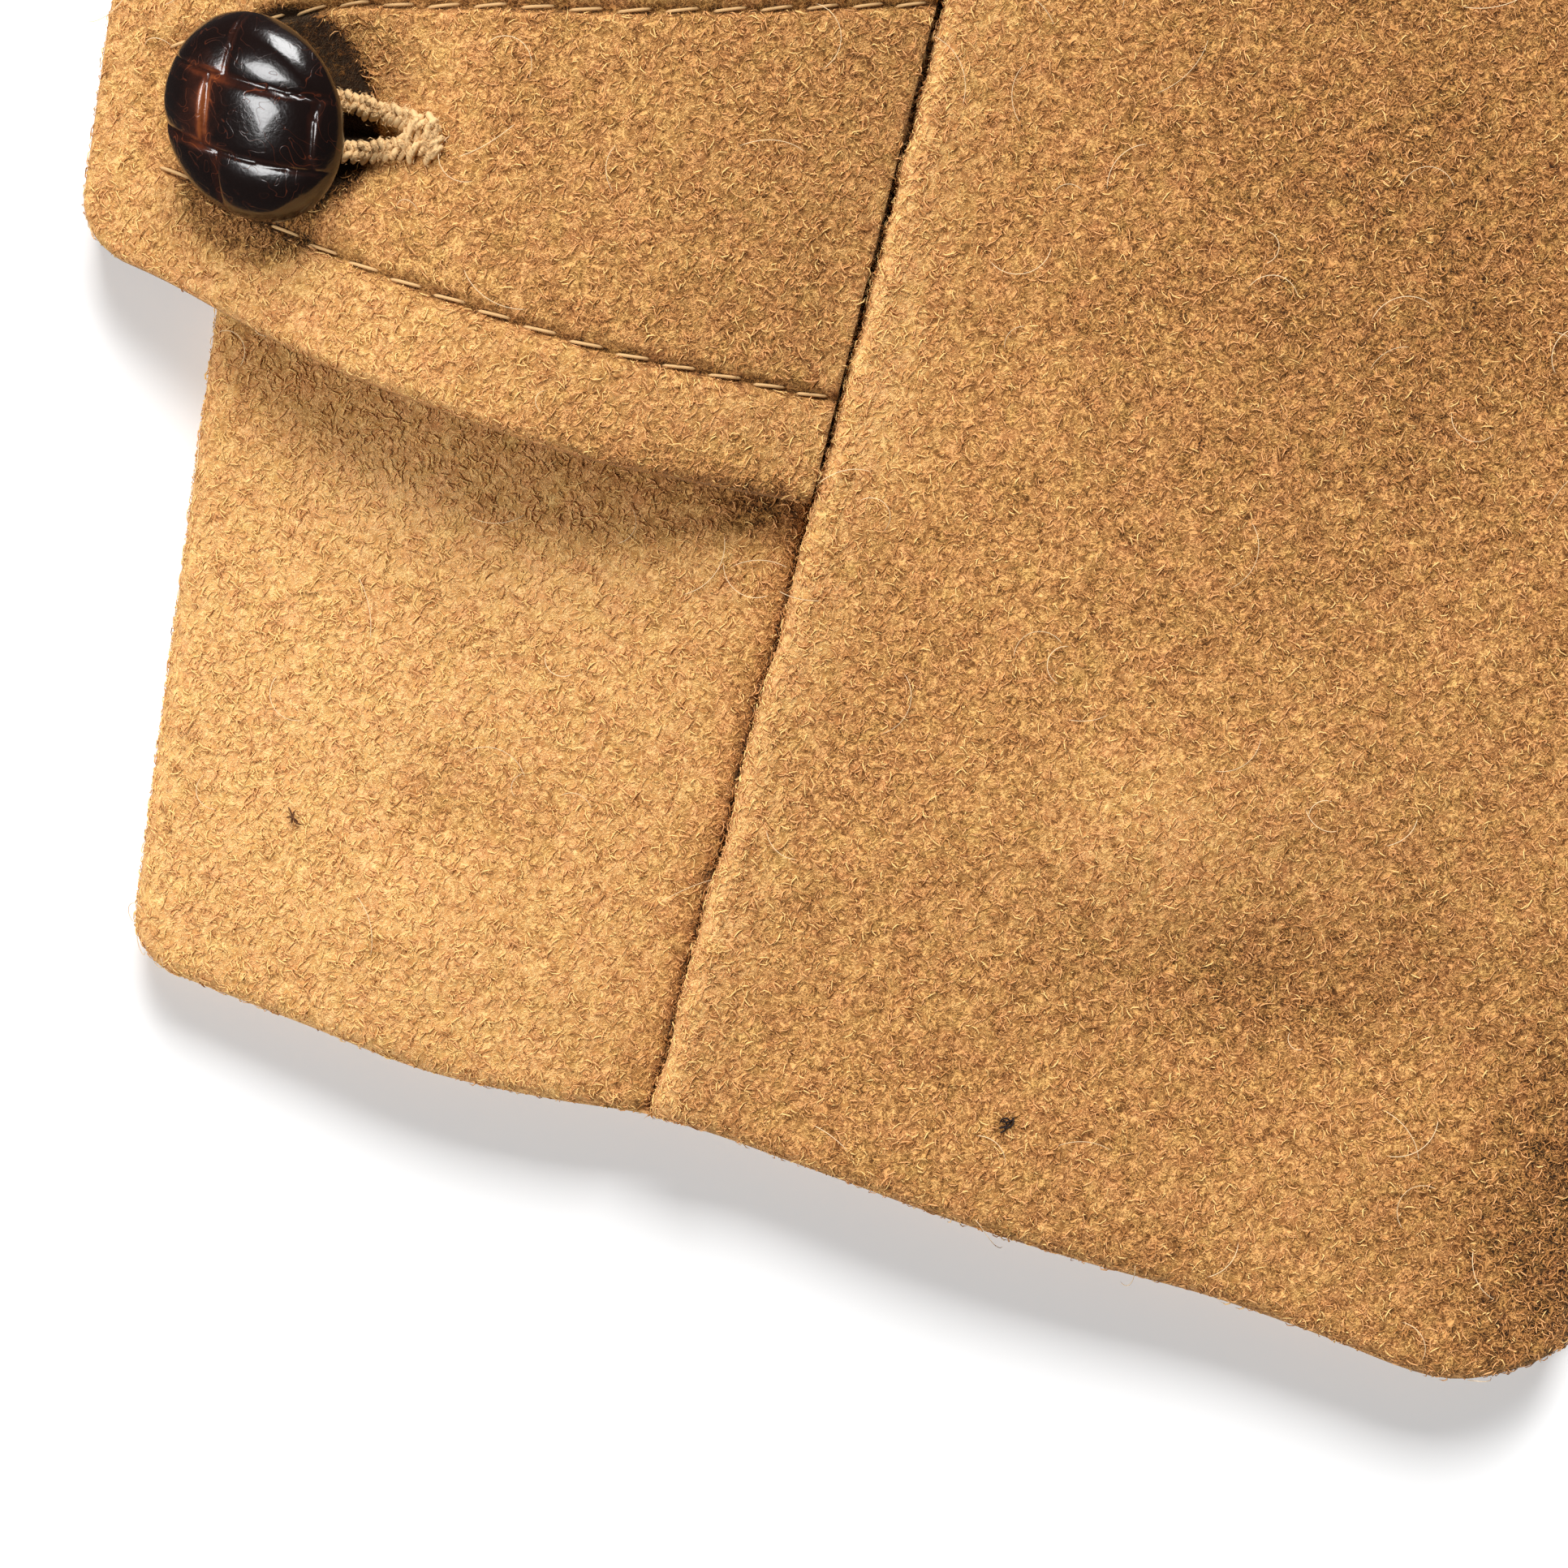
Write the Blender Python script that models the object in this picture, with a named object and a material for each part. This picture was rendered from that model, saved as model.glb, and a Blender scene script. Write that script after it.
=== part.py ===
"""A wool car coat laid out flat on its back: raglan sleeves, turn-down collar, tabbed cuffs, leather buttons.

Metres, +Z up. The coat rests on z = 0 with its collar towards +Y and the wearer's left side towards +X.
Each cloth piece is a closed wall made of rows. A row is a section of the cloth: a chain of arcs and straight
runs in an upright plane between two points of the cutting outline.
"""
import math

import bmesh
import bpy
import numpy as np
from mathutils import Matrix, Vector

# Cloth and seams
CLOTH = 0.0030
SLACK = 0.0036
STACK = 2.0 * CLOTH + SLACK
SEAM = 0.0003
SIDE_RADIUS = 0.5 * (STACK - SEAM)
EDGE_RUN = 0.5 * math.pi * SIDE_RADIUS

# Body, seen from above; y is measured down from the centre back neck
BODY_LENGTH = 0.880
HEM_HALF = 0.322
UNDERARM = (0.285, -0.290)
WRAP = 0.025
LAP_LIFT = CLOTH + SEAM
LAP_RAMP = 0.014
LAP_CLEAR = 0.033
CENTRE_AT_UNDERARM = -0.330
CENTRE_AT_NECK = -0.0885

# Neck oval that the collar stands on
NECK_CENTRE_Y = -0.040
NECK_HALF_WIDTH = 0.088
NECK_BACK = 0.034
NECK_FRONT = 0.046
NECK_EASE = 0.0020

# Raglan seams and shoulder line of the left half
FRONT_RAGLAN_TOP = (0.0915, -0.046)
BACK_RAGLAN_TOP = (0.055, -0.001)
RAGLAN_SWELL = 0.008
SIDE_NECK = (0.097, 0.004)
SHOULDER_PULL = (0.370, -0.0964)
UPPER_ARM = (0.430, -0.168)

# Cuff of the left sleeve, the elbow's swell of its inner edge, and the hem's rounded corners
CUFF_OUTER = (0.7081, -0.4963)
CUFF_INNER = (0.612, -0.6105)
ELBOW_IN = 0.006
HEM_CORNER_INNER = 0.015
HEM_RISE_INNER = 0.0068
HEM_CORNER_OUTER = 0.005
HEM_RISE_OUTER = 0.0028
HEM_FADE = 0.022

# Slack of the sleeve hem: distance from its outer corner, and how far it rises from a straight cut
HEM_COLUMNS = ("across", "rise")
HEM_TABLE = (
    (0.000, 0.0000),
    (0.019, -0.0011),
    (0.031, -0.0018),
    (0.045, -0.0006),
    (0.054, 0.0007),
    (0.070, 0.0004),
    (0.087, -0.0003),
    (0.100, -0.0003),
    (0.112, 0.0001),
    (0.124, -0.0004),
    (0.132, -0.0010),
    (0.145, 0.0000),
)

# Overarm seam: a ridge on the sleeve front, a dip in the sleeve back
CROWN_RUN = 0.050
SEAM_DIP = 0.0013
SEAM_ZONE = 0.012
SEAM_SHARES = (0.0, 0.28, 0.60, 1.0)

# Sleeve sections from cuff to neck: place 0-1 is the arm, 1-2 the raglan part
SLEEVE_COLUMNS = ("place", "seam_run", "tilt", "ridge")
SLEEVE_TABLE = (
    (0.00, 0.0562, 6.5, 0.0020),
    (0.12, 0.06265, 6.3, 0.0020),
    (0.25, 0.0694, 6.0, 0.0020),
    (0.60, 0.0790, 4.0, 0.0016),
    (1.00, 0.0560, 1.5, 0.0012),
    (1.50, 0.0260, 0.0, 0.0006),
    (2.00, 0.0130, 0.0, 0.0000),
)
ARM_PLACES = (0.0, 0.015, 0.04, 0.08, 0.14, 0.20, 0.26, 0.34, 0.44, 0.56, 0.68, 0.79, 0.88, 0.945, 1.0)
EDGE_FADE = 0.055

# Steps of the rows and along them
RAGLAN_STEPS = 8
SIDE_STEPS = 9
SIDE_CROWDING = 1.25
EDGE_STEPS = 3
FRONT_STEPS = 9
LAP_STEPS = 4
TAIL_STEPS = 2
BACK_STEPS = 22
SLEEVE_STEPS = 5
CROWN_STEPS = 3
UNDER_STEPS = 6

# Soft folds that lift both layers: ends in plan, height and half width
FOLD_COLUMNS = ("x0", "y0", "x1", "y1", "height", "reach")
FOLD_TABLE = (
    (0.205, -0.900, 0.165, -0.520, 0.0110, 0.060),
    (-0.150, -0.900, -0.130, -0.560, 0.0090, 0.055),
    (-0.268, -0.905, -0.235, -0.610, 0.0070, 0.045),
    (0.245, -0.330, 0.130, -0.430, 0.0060, 0.045),
    (-0.245, -0.330, -0.140, -0.450, 0.0070, 0.045),
    (0.470, -0.235, 0.420, -0.420, 0.0060, 0.035),
    (-0.440, -0.205, -0.410, -0.385, 0.0055, 0.035),
)

# Collar
COLLAR_CLOTH = 0.0045
COLLAR_ROLL = 0.0080
COLLAR_LEAN = 6.0
COLLAR_BASE = CLOTH + SEAM
COLLAR_EASING = 0.6
COLLAR_DIP_LEAST = -30.0
COLLAR_DIP_MOST = 80.0
COLLAR_HALVINGS = 40
COLLAR_COLUMNS = ("angle", "stand", "fall", "spread", "rest")
COLLAR_TABLE = (
    (-87.0, 0.0120, 0.082, 30.0, 0.0134),
    (-70.0, 0.0125, 0.074, 14.0, 0.0134),
    (-45.0, 0.0145, 0.068, 0.0, 0.0101),
    (-10.0, 0.0190, 0.062, 0.0, 0.0101),
    (30.0, 0.0235, 0.059, 0.0, 0.0101),
    (90.0, 0.0260, 0.060, 0.0, 0.0090),
)
COLLAR_STATIONS = 31
STAND_STEPS = 2
ROLL_STEPS = 5
FALL_STEPS = 4

# Cuff tab: sections from the seam to the free end
TAB_RISE = 0.0918
TAB_TURN = 96.2
TAB_COLUMNS = ("along", "half_width", "top", "thick")
TAB_TABLE = (
    (0.0000, 0.0296, 0.0110, 0.0022),
    (0.0090, 0.0294, 0.0148, 0.0042),
    (0.0230, 0.0287, 0.0181, 0.0044),
    (0.0390, 0.0260, 0.0183, 0.0044),
    (0.0520, 0.0228, 0.0157, 0.0044),
    (0.0610, 0.0196, 0.0127, 0.0044),
    (0.0695, 0.0163, 0.0094, 0.0044),
    (0.0786, 0.0135, 0.0058, 0.0044),
)
TAB_STEPS = 14
TAB_CROWDING = 1.35
TAB_CORNER = 0.0048
TAB_BREADTHS = (-1.0, -0.93, -0.72, -0.36, 0.0, 0.36, 0.72, 0.93, 1.0)
TAB_EDGE_DROP = 0.0009
TAB_EDGE_SHARE = 0.6

# Woven leather buttons; profile and weave are shares of the radius
CUFF_BUTTON = 0.0202
FRONT_BUTTON = 0.0260
BUTTON_ALONG = 0.0600
BUTTON_TILT = 36.0
BUTTON_TURN = -43.5
BUTTON_SPIN = 50.0
BUTTON_CLEAR = 0.0032
FRONT_BUTTON_CLEAR = 0.0018
FRONT_BUTTON_Y = (-0.128, -0.278, -0.428, -0.578)
FRONT_BUTTON_LEAN = (-90.0, 0.0, 0.0)
DOME_COLUMNS = ("radius", "height")
DOME_TABLE = (
    (0.00, 0.685),
    (0.30, 0.670),
    (0.46, 0.645),
    (0.62, 0.602),
    (0.76, 0.548),
    (0.88, 0.478),
    (0.96, 0.400),
    (1.00, 0.310),
)
UNDERSIDE_TABLE = (
    (0.98, 0.24),
    (0.86, 0.15),
    (0.55, 0.10),
    (0.16, 0.09),
    (0.16, 0.00),
)
DOME_LINES_ALONG = (-1.0, -0.93, -0.80, -0.62, -0.38, -0.12, 0.05, 0.17, 0.27, 0.36, 0.52, 0.72, 0.88, 1.0)
DOME_LINES_ACROSS = (-1.0, -0.86, -0.66, -0.46, -0.32, -0.22, -0.04, 0.18, 0.38, 0.48, 0.61, 0.76, 0.90, 1.0)
DOME_RIM = 0.12
STRAP_LONG = 1.13
STRAP_WIDE = 0.70
STRAP_SHIFT = -0.18
STRAP_MIDDLE = (-0.25, 0.08)
STRAP_DIVE = 0.85
STRAP_DIVE_POWER = 2.5
STRAP_EDGE = 0.35
STRAP_EDGE_POWER = 6.0
WEAVE_RELIEF = 0.065

WOOL_COLOUR = (0.56, 0.29, 0.105, 1.0)
LEATHER_COLOUR = (0.030, 0.013, 0.009, 1.0)


def column(table, names, name):
    """One named column of a table as an array."""
    place = names.index(name)
    return np.array([line[place] for line in table], dtype=float)


def ease(stations, values, at):
    """Smooth curve through the table values: a cubic between stations with centred slopes."""
    stations = np.asarray(stations, dtype=float)
    values = np.asarray(values, dtype=float)
    slopes = np.gradient(values, stations)
    at = np.clip(np.asarray(at, dtype=float), stations[0], stations[-1])
    left = np.clip(np.searchsorted(stations, at, side="right") - 1, 0, len(stations) - 2)
    span = stations[left + 1] - stations[left]
    t = (at - stations[left]) / span
    rise = 3.0 * t ** 2 - 2.0 * t ** 3
    level = (1.0 - rise) * values[left] + rise * values[left + 1]
    bend = (t ** 3 - 2.0 * t ** 2 + t) * slopes[left] + (t ** 3 - t ** 2) * slopes[left + 1]
    return level + span * bend


def arc_point(start, end, length, distance):
    """Run and rise at a distance along an arc whose tangent turns evenly from start to end."""
    bend = (end - start) / length
    turned = start + bend * distance
    if abs(end - start) < 1e-9:
        return distance * math.cos(start), distance * math.sin(start), turned
    return (math.sin(turned) - math.sin(start)) / bend, (math.cos(start) - math.cos(turned)) / bend, turned


def chain_points(arcs, distances, rise=0.0):
    """Points (run, height) and tangent angles at distances along a chain of (length, start, end) arcs."""
    points = []
    for distance in distances:
        run, height, left = 0.0, rise, distance
        angle = arcs[0][1]
        for length, start, end in arcs:
            step = min(left, length)
            across, up, angle = arc_point(start, end, length, step)
            run += across
            height += up
            left -= step
            if left <= 1e-12:
                break
        points.append((run, height, angle))
    return np.array(points)


def chain_run(arcs):
    """Level distance covered by a chain of arcs."""
    return sum(arc_point(start, end, length, length)[0] for length, start, end in arcs)


def spaced(*spans):
    """Distances along a chain: each span is (start, end, steps), joined without repeats."""
    places = [spans[0][0]]
    for start, end, steps in spans:
        places.extend(start + (end - start) * (k + 1) / steps for k in range(steps))
    return np.array(places)


def lift(x, y):
    """Height by which the soft folds raise both layers at a place."""
    raised = np.zeros_like(x)
    for line in FOLD_TABLE:
        fold = dict(zip(FOLD_COLUMNS, line))
        run = np.array((fold["x1"] - fold["x0"], fold["y1"] - fold["y0"]))
        from_x = x - fold["x0"]
        from_y = y - fold["y0"]
        along = (from_x * run[0] + from_y * run[1]) / run.dot(run)
        off = np.abs(from_y * run[0] - from_x * run[1]) / np.linalg.norm(run)
        fade = 0.5 + 0.5 * np.cos(np.pi * np.clip(along, 0.0, 1.0))
        bell = 0.5 + 0.5 * np.cos(np.pi * np.clip(off / fold["reach"], 0.0, 1.0))
        raised = raised + fold["height"] * fade * bell
    return raised


def laid(start, end, section, wall, raise_by=0.0, side=1.0):
    """A row's outer and inner points: the section set up on a plan line, the wall taken along its normal."""
    start = np.array(start)
    heading = np.array(end) - start
    heading = heading / np.linalg.norm(heading)
    run, height, angle = section.T
    normal_run = -side * np.sin(angle)
    normal_up = side * np.cos(angle)
    rows = []
    for out in (raise_by + 0.0 * run, -wall + 0.0 * run):
        across = run + out * normal_run
        up = height + out * normal_up
        rows.append(np.column_stack((start[0] + heading[0] * across, start[1] + heading[1] * across, up)))
    return rows


def closed_wall(name, outer, inner, material, mirrored=False, folded=True):
    """Object from two grids of points: the outer face, the inner face and the rim that joins them."""
    grids = np.array((outer, inner))
    if mirrored:
        grids[..., 0] *= -1.0
    if folded:
        grids[..., 2] += lift(grids[..., 0], grids[..., 1])
    rows, columns = grids.shape[1:3]
    mesh = bmesh.new()
    corners = [[[mesh.verts.new(point) for point in row] for row in grid] for grid in grids]
    for grid in corners:
        for i in range(rows - 1):
            for j in range(columns - 1):
                mesh.faces.new((grid[i][j], grid[i][j + 1], grid[i + 1][j + 1], grid[i + 1][j]))
    ring = [(0, j) for j in range(columns)] + [(i, columns - 1) for i in range(1, rows)]
    ring += [(rows - 1, j) for j in range(columns - 2, -1, -1)] + [(i, 0) for i in range(rows - 2, 0, -1)]
    for (i, j), (k, m) in zip(ring, ring[1:] + ring[:1]):
        mesh.faces.new((corners[0][i][j], corners[0][k][m], corners[1][k][m], corners[1][i][j]))
    return finished(name, mesh, material)


def finished(name, mesh, material):
    """The named object of a built mesh, its faces turned outwards."""
    bmesh.ops.recalc_face_normals(mesh, faces=mesh.faces)
    data = bpy.data.meshes.new(name)
    mesh.to_mesh(data)
    mesh.free()
    data.materials.append(material)
    part = bpy.data.objects.new(name, data)
    bpy.context.scene.collection.objects.link(part)
    return part


def principled(name, colour, roughness):
    """A Principled material of one colour."""
    material = bpy.data.materials.new(name)
    material.use_nodes = True
    shader = material.node_tree.nodes["Principled BSDF"]
    shader.inputs["Base Color"].default_value = colour
    shader.inputs["Roughness"].default_value = roughness
    return material


def between(start, end, t):
    """Point part of the way between two plan points."""
    return np.array(start) + (np.array(end) - np.array(start)) * t


def swollen(start, end, t, swell):
    """Point on the line between two plan points, bowed to its left by the swell at the middle."""
    run = np.array(end) - np.array(start)
    left = np.array((-run[1], run[0])) / np.linalg.norm(run)
    return between(start, end, t) + left * swell * 4.0 * t * (1.0 - t)


def raglan(top, t):
    """Raglan seam of the left half from the underarm to its top at the neck."""
    return swollen(UNDERARM, top, t, RAGLAN_SWELL)


def shoulder(t):
    """Outer edge of the left half from the upper arm to the side neck."""
    return ((1.0 - t) ** 2 * np.array(UPPER_ARM) + 2.0 * t * (1.0 - t) * np.array(SHOULDER_PULL)
            + t ** 2 * np.array(SIDE_NECK))


def side_seam(t):
    """Side seam of the left half from the hem to the underarm."""
    return between((HEM_HALF, -BODY_LENGTH), UNDERARM, t)


def edge_turn(distance):
    """How far a free fold is turned over: nothing at the underarm, a quarter turn further off."""
    t = min(1.0, max(0.0, distance / EDGE_FADE))
    return 0.5 * math.pi * t * t * (3.0 - 2.0 * t)


def edge_run(turn):
    """Cloth taken up by a fold's turn, so that the two walls of a half-turned fold stay clear."""
    if turn < 1e-6:
        return EDGE_RUN
    room = SIDE_RADIUS - CLOTH * math.cos(turn)
    return min(EDGE_RUN, room * turn / (1.0 - math.cos(turn)))


def neck_edge(x):
    """Lowest y of the neck oval, eased outwards, at a place across the coat."""
    half = NECK_HALF_WIDTH + NECK_EASE
    return NECK_CENTRE_Y - (NECK_FRONT + NECK_EASE) * np.sqrt(np.clip(1.0 - (x / half) ** 2, 0.0, 1.0))


def body_places():
    """Side points of the left half from hem to neck, with the fold's turn and the share of the way up."""
    places = []
    length = np.linalg.norm(side_seam(1.0) - side_seam(0.0))
    for k in range(SIDE_STEPS):
        t = 1.0 - (1.0 - k / SIDE_STEPS) ** SIDE_CROWDING
        places.append((side_seam(t), edge_turn((1.0 - t) * length), t, 0.0))
    for k in range(RAGLAN_STEPS + 1):
        places.append((None, 0.0, 1.0, k / RAGLAN_STEPS))
    return places


def front_panel(name, material, laps_over, mirrored):
    """A front: rows from the side or raglan seam to the centre edge, its top row cut to the neck."""
    outer, inner = [], []
    top_start = raglan(FRONT_RAGLAN_TOP, 1.0)
    top_end = np.array((-WRAP, CENTRE_AT_NECK))
    for side, turn, up_side, up_raglan in body_places():
        start = raglan(FRONT_RAGLAN_TOP, up_raglan) if side is None else side
        centre = -BODY_LENGTH + (CENTRE_AT_UNDERARM + BODY_LENGTH) * up_side
        centre += (CENTRE_AT_NECK - CENTRE_AT_UNDERARM) * up_raglan
        end = np.array((-WRAP, centre))
        width = np.linalg.norm(end - start)
        ramp_turn = 2.0 * math.asin(min(1.0, 0.5 * LAP_LIFT / LAP_RAMP)) if laps_over else 0.0
        ramp = [(LAP_RAMP, 0.0, ramp_turn), (LAP_RAMP, ramp_turn, 0.0)]
        tail = [(2.0 * WRAP + LAP_CLEAR - 2.0 * LAP_RAMP, 0.0, 0.0)]
        edge = [(edge_run(turn), turn, 0.0)]
        flat = width - chain_run(edge + ramp + tail)
        arcs = edge + [(flat, 0.0, 0.0)] + ramp + tail
        ends = np.cumsum([arc[0] for arc in arcs])
        distances = spaced((0.0, ends[0], EDGE_STEPS), (ends[0], ends[1], FRONT_STEPS),
                           (ends[1], ends[3], LAP_STEPS), (ends[3], ends[4], TAIL_STEPS))
        drop = arc_point(turn, 0.0, edge[0][0], edge[0][0])[1]
        section = chain_points(arcs, distances, STACK - drop)
        row = laid(start, end, section, CLOTH)
        for points in row:
            share = np.clip((points[:, 0] - top_end[0]) / (top_start[0] - top_end[0]), 0.0, 1.0)
            chord = top_end[1] + (top_start[1] - top_end[1]) * share
            points[:, 1] += np.minimum(neck_edge(points[:, 0]) - chord, 0.0) * up_raglan ** 2
        outer.append(row[0])
        inner.append(row[1])
    return closed_wall(name, outer, inner, material, mirrored)


def back_panel(material):
    """The back: rows from side to side, on the ground."""
    outer, inner = [], []
    for side, turn, up_side, up_raglan in body_places():
        end = raglan(BACK_RAGLAN_TOP, up_raglan) if side is None else side
        start = end * np.array((-1.0, 1.0))
        width = np.linalg.norm(end - start)
        edge = [(edge_run(turn), -turn, 0.0)]
        flat = width - 2.0 * chain_run(edge)
        arcs = edge + [(flat, 0.0, 0.0), (edge[0][0], 0.0, turn)]
        ends = np.cumsum([arc[0] for arc in arcs])
        distances = spaced((0.0, ends[0], EDGE_STEPS), (ends[0], ends[1], BACK_STEPS),
                           (ends[1], ends[2], EDGE_STEPS))
        drop = -arc_point(-turn, 0.0, edge[0][0], edge[0][0])[1]
        row = laid(start, end, chain_points(arcs, distances, drop), CLOTH, side=-1.0)
        outer.append(row[0])
        inner.append(row[1])
    return closed_wall("back", outer, inner, material)


def sleeve_rows():
    """Rows of the left sleeve: outer point, the two inner points, place, turn of the inner fold."""
    rows = []
    arm = np.linalg.norm(np.array(CUFF_INNER) - np.array(UNDERARM))
    outward = np.array(UPPER_ARM) - np.array(UNDERARM)
    gap = SEAM * outward / np.linalg.norm(outward)
    for place in ARM_PLACES[:-1]:
        start = between(CUFF_OUTER, UPPER_ARM, place)
        end = swollen(CUFF_INNER, UNDERARM, place, ELBOW_IN) + gap
        rows.append((start, end, end, place, edge_turn((1.0 - place) * arm)))
    for k in range(RAGLAN_STEPS + 1):
        t = k / RAGLAN_STEPS
        front_end = raglan(FRONT_RAGLAN_TOP, t) + gap
        back_end = raglan(BACK_RAGLAN_TOP, t) + gap
        rows.append((shoulder(t), front_end, back_end, 1.0 + t, 0.0))
    return rows


def sleeve_arcs(width, tilt, turn):
    """Upper chain of a sleeve section from the outer fold's edge, with that fold's radius."""
    crown = (CROWN_RUN, tilt, 0.0)
    rise = arc_point(tilt, 0.0, CROWN_RUN, CROWN_RUN)[1]
    radius = (STACK - rise) / (1.0 + math.cos(tilt))
    fold = (radius * (0.5 * math.pi - tilt), 0.5 * math.pi, tilt)
    edge = (edge_run(turn), 0.0, -turn)
    flat = (width - chain_run([fold, crown, edge]), 0.0, 0.0)
    return [fold, crown, flat, edge], radius


def hem_shift(points, row, heading_up):
    """Moves a cuff row up the sleeve where the hem is slack and where its two corners round off."""
    start, end, place = row
    width = np.linalg.norm(end - start)
    across = (points[:, :2] - start).dot((end - start) / width)
    inner_part = np.clip((across - (width - HEM_CORNER_INNER)) / HEM_CORNER_INNER, 0.0, 1.0)
    outer_part = np.clip((HEM_CORNER_OUTER - across) / HEM_CORNER_OUTER, 0.0, 1.0)
    rise = HEM_RISE_INNER * inner_part ** 2 + HEM_RISE_OUTER * outer_part ** 2
    rise += ease(column(HEM_TABLE, HEM_COLUMNS, "across"), column(HEM_TABLE, HEM_COLUMNS, "rise"), across)
    fade = math.exp(-place * np.linalg.norm(np.array(UPPER_ARM) - np.array(CUFF_OUTER)) / HEM_FADE)
    points[:, :2] += np.outer(rise * fade, heading_up)


def sleeve_panels(side, material, mirrored):
    """The two walls of a sleeve, with the overarm seam's edge points and headings."""
    stations = column(SLEEVE_TABLE, SLEEVE_COLUMNS, "place")
    seam_runs = column(SLEEVE_TABLE, SLEEVE_COLUMNS, "seam_run")
    tilts = column(SLEEVE_TABLE, SLEEVE_COLUMNS, "tilt")
    ridges = column(SLEEVE_TABLE, SLEEVE_COLUMNS, "ridge")
    up = np.array(UPPER_ARM) - np.array(CUFF_OUTER)
    up = up / np.linalg.norm(up)
    front_outer, front_inner, back_outer, back_inner, seam_line = [], [], [], [], []
    for start, front_end, back_end, place, turn in sleeve_rows():
        tilt = math.radians(max(0.0, float(ease(stations, tilts, place))))
        seam = float(ease(stations, seam_runs, place))
        width = np.linalg.norm(front_end - start)
        arcs, radius = sleeve_arcs(width, tilt, turn)
        ends = np.cumsum([arc[0] for arc in arcs])
        zone = min(SEAM_ZONE, 0.5 * (seam - ends[0]))
        marks = np.array(SEAM_SHARES)
        beyond = spaced((seam + SEAM_ZONE, ends[2], SLEEVE_STEPS), (ends[2], ends[3], EDGE_STEPS))[1:]
        front_places = np.concatenate((seam + 0.5 * SEAM + SEAM_ZONE * marks, beyond))
        near_seam = np.clip(1.0 - (front_places - seam) / SEAM_ZONE, 0.0, 1.0)
        ridge = float(ease(stations, ridges, place)) * near_seam ** 2
        section = chain_points(arcs, front_places, radius)
        front_row = laid(start, front_end, section, CLOTH, ridge)
        before = spaced((seam - zone, ends[0], CROWN_STEPS), (ends[0], 0.0, EDGE_STEPS))[1:]
        back_top = np.concatenate((seam - 0.5 * SEAM - zone * marks, before))
        dip = -SEAM_DIP * np.clip(1.0 - (seam - back_top) / zone, 0.0, 1.0) ** 2
        top_row = laid(start, front_end, chain_points(arcs, back_top, radius), CLOTH, dip)
        back_width = np.linalg.norm(back_end - start)
        under = [(0.5 * math.pi * radius, -0.5 * math.pi, 0.0), (edge_run(turn), 0.0, turn)]
        flat = back_width - chain_run(under)
        under.insert(1, (flat, 0.0, 0.0))
        ends = np.cumsum([arc[0] for arc in under])
        low = spaced((0.0, ends[0], EDGE_STEPS), (ends[0], ends[1], UNDER_STEPS),
                     (ends[1], ends[2], EDGE_STEPS))[1:]
        low_row = laid(start, back_end, chain_points(under, low, radius), CLOTH, side=-1.0)
        back_row = [np.concatenate((top_row[k], low_row[k])) for k in range(2)]
        for points in front_row + back_row:
            hem_shift(points, (start, front_end, min(place, 1.0)), up)
        front_outer.append(front_row[0])
        front_inner.append(front_row[1])
        back_outer.append(back_row[0])
        back_inner.append(back_row[1])
        seam_line.append(front_row[0][0])
    closed_wall("sleeve_front_" + side, front_outer, front_inner, material, mirrored)
    closed_wall("sleeve_back_" + side, back_outer, back_inner, material, mirrored)
    return np.array(seam_line)


def tab_frame(seam_line):
    """Place of the tab's root on the overarm seam and the heading of its length, in plan."""
    line = seam_line[:, :2]
    run = np.concatenate(([0.0], np.cumsum(np.linalg.norm(np.diff(line, axis=0), axis=1))))
    root = np.array([np.interp(TAB_RISE, run, line[:, k]) for k in range(2)])
    ahead = np.array([np.interp(TAB_RISE + SEAM_ZONE, run, line[:, k]) for k in range(2)]) - root
    angle = math.atan2(ahead[1], ahead[0]) - math.radians(TAB_TURN)
    return root, np.array((math.cos(angle), math.sin(angle))), ahead / np.linalg.norm(ahead)


def tab_columns(along):
    """Half width, height of the upper face and thickness of the tab at distances from its seam."""
    stations, *sizes = (column(TAB_TABLE, TAB_COLUMNS, name) for name in TAB_COLUMNS)
    return [ease(stations, size, along) for size in sizes]


def cuff_tab(side, seam_line, material, mirrored):
    """The tab: rows across it, from the seam to its rounded end."""
    root, heading, seam_heading = tab_frame(seam_line)
    length = TAB_TABLE[-1][0]
    across = np.array((-heading[1], heading[0]))
    skew = seam_heading.dot(heading) / abs(seam_heading.dot(across))
    sign = math.copysign(1.0, seam_heading.dot(across))
    outer, inner = [], []
    for k in range(TAB_STEPS + 1):
        t = k / TAB_STEPS
        along = length * (1.0 - (1.0 - t) ** TAB_CROWDING)
        half, top, thick = (float(value) for value in tab_columns(along))
        from_end = length - along
        if from_end < TAB_CORNER:
            half -= TAB_CORNER - math.sqrt(max(0.0, TAB_CORNER ** 2 - (TAB_CORNER - from_end) ** 2))
        breadth = np.array(TAB_BREADTHS)
        start = SEAM * 2.0 + skew * sign * breadth * half * (1.0 - t) ** 2
        flat = root + np.outer(along + start, heading) + np.outer(breadth * half, across)
        near_edge = np.clip((np.abs(breadth) - TAB_EDGE_SHARE) / (1.0 - TAB_EDGE_SHARE), 0.0, 1.0)
        crown = top - TAB_EDGE_DROP * near_edge ** 2
        outer.append(np.column_stack((flat, crown)))
        inner.append(np.column_stack((flat, np.full(len(breadth), top - thick))))
    closed_wall("cuff_tab_" + side, outer, inner, material, mirrored, folded=False)
    middle = root + heading * BUTTON_ALONG
    return middle, heading, float(tab_columns(BUTTON_ALONG)[1])


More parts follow.
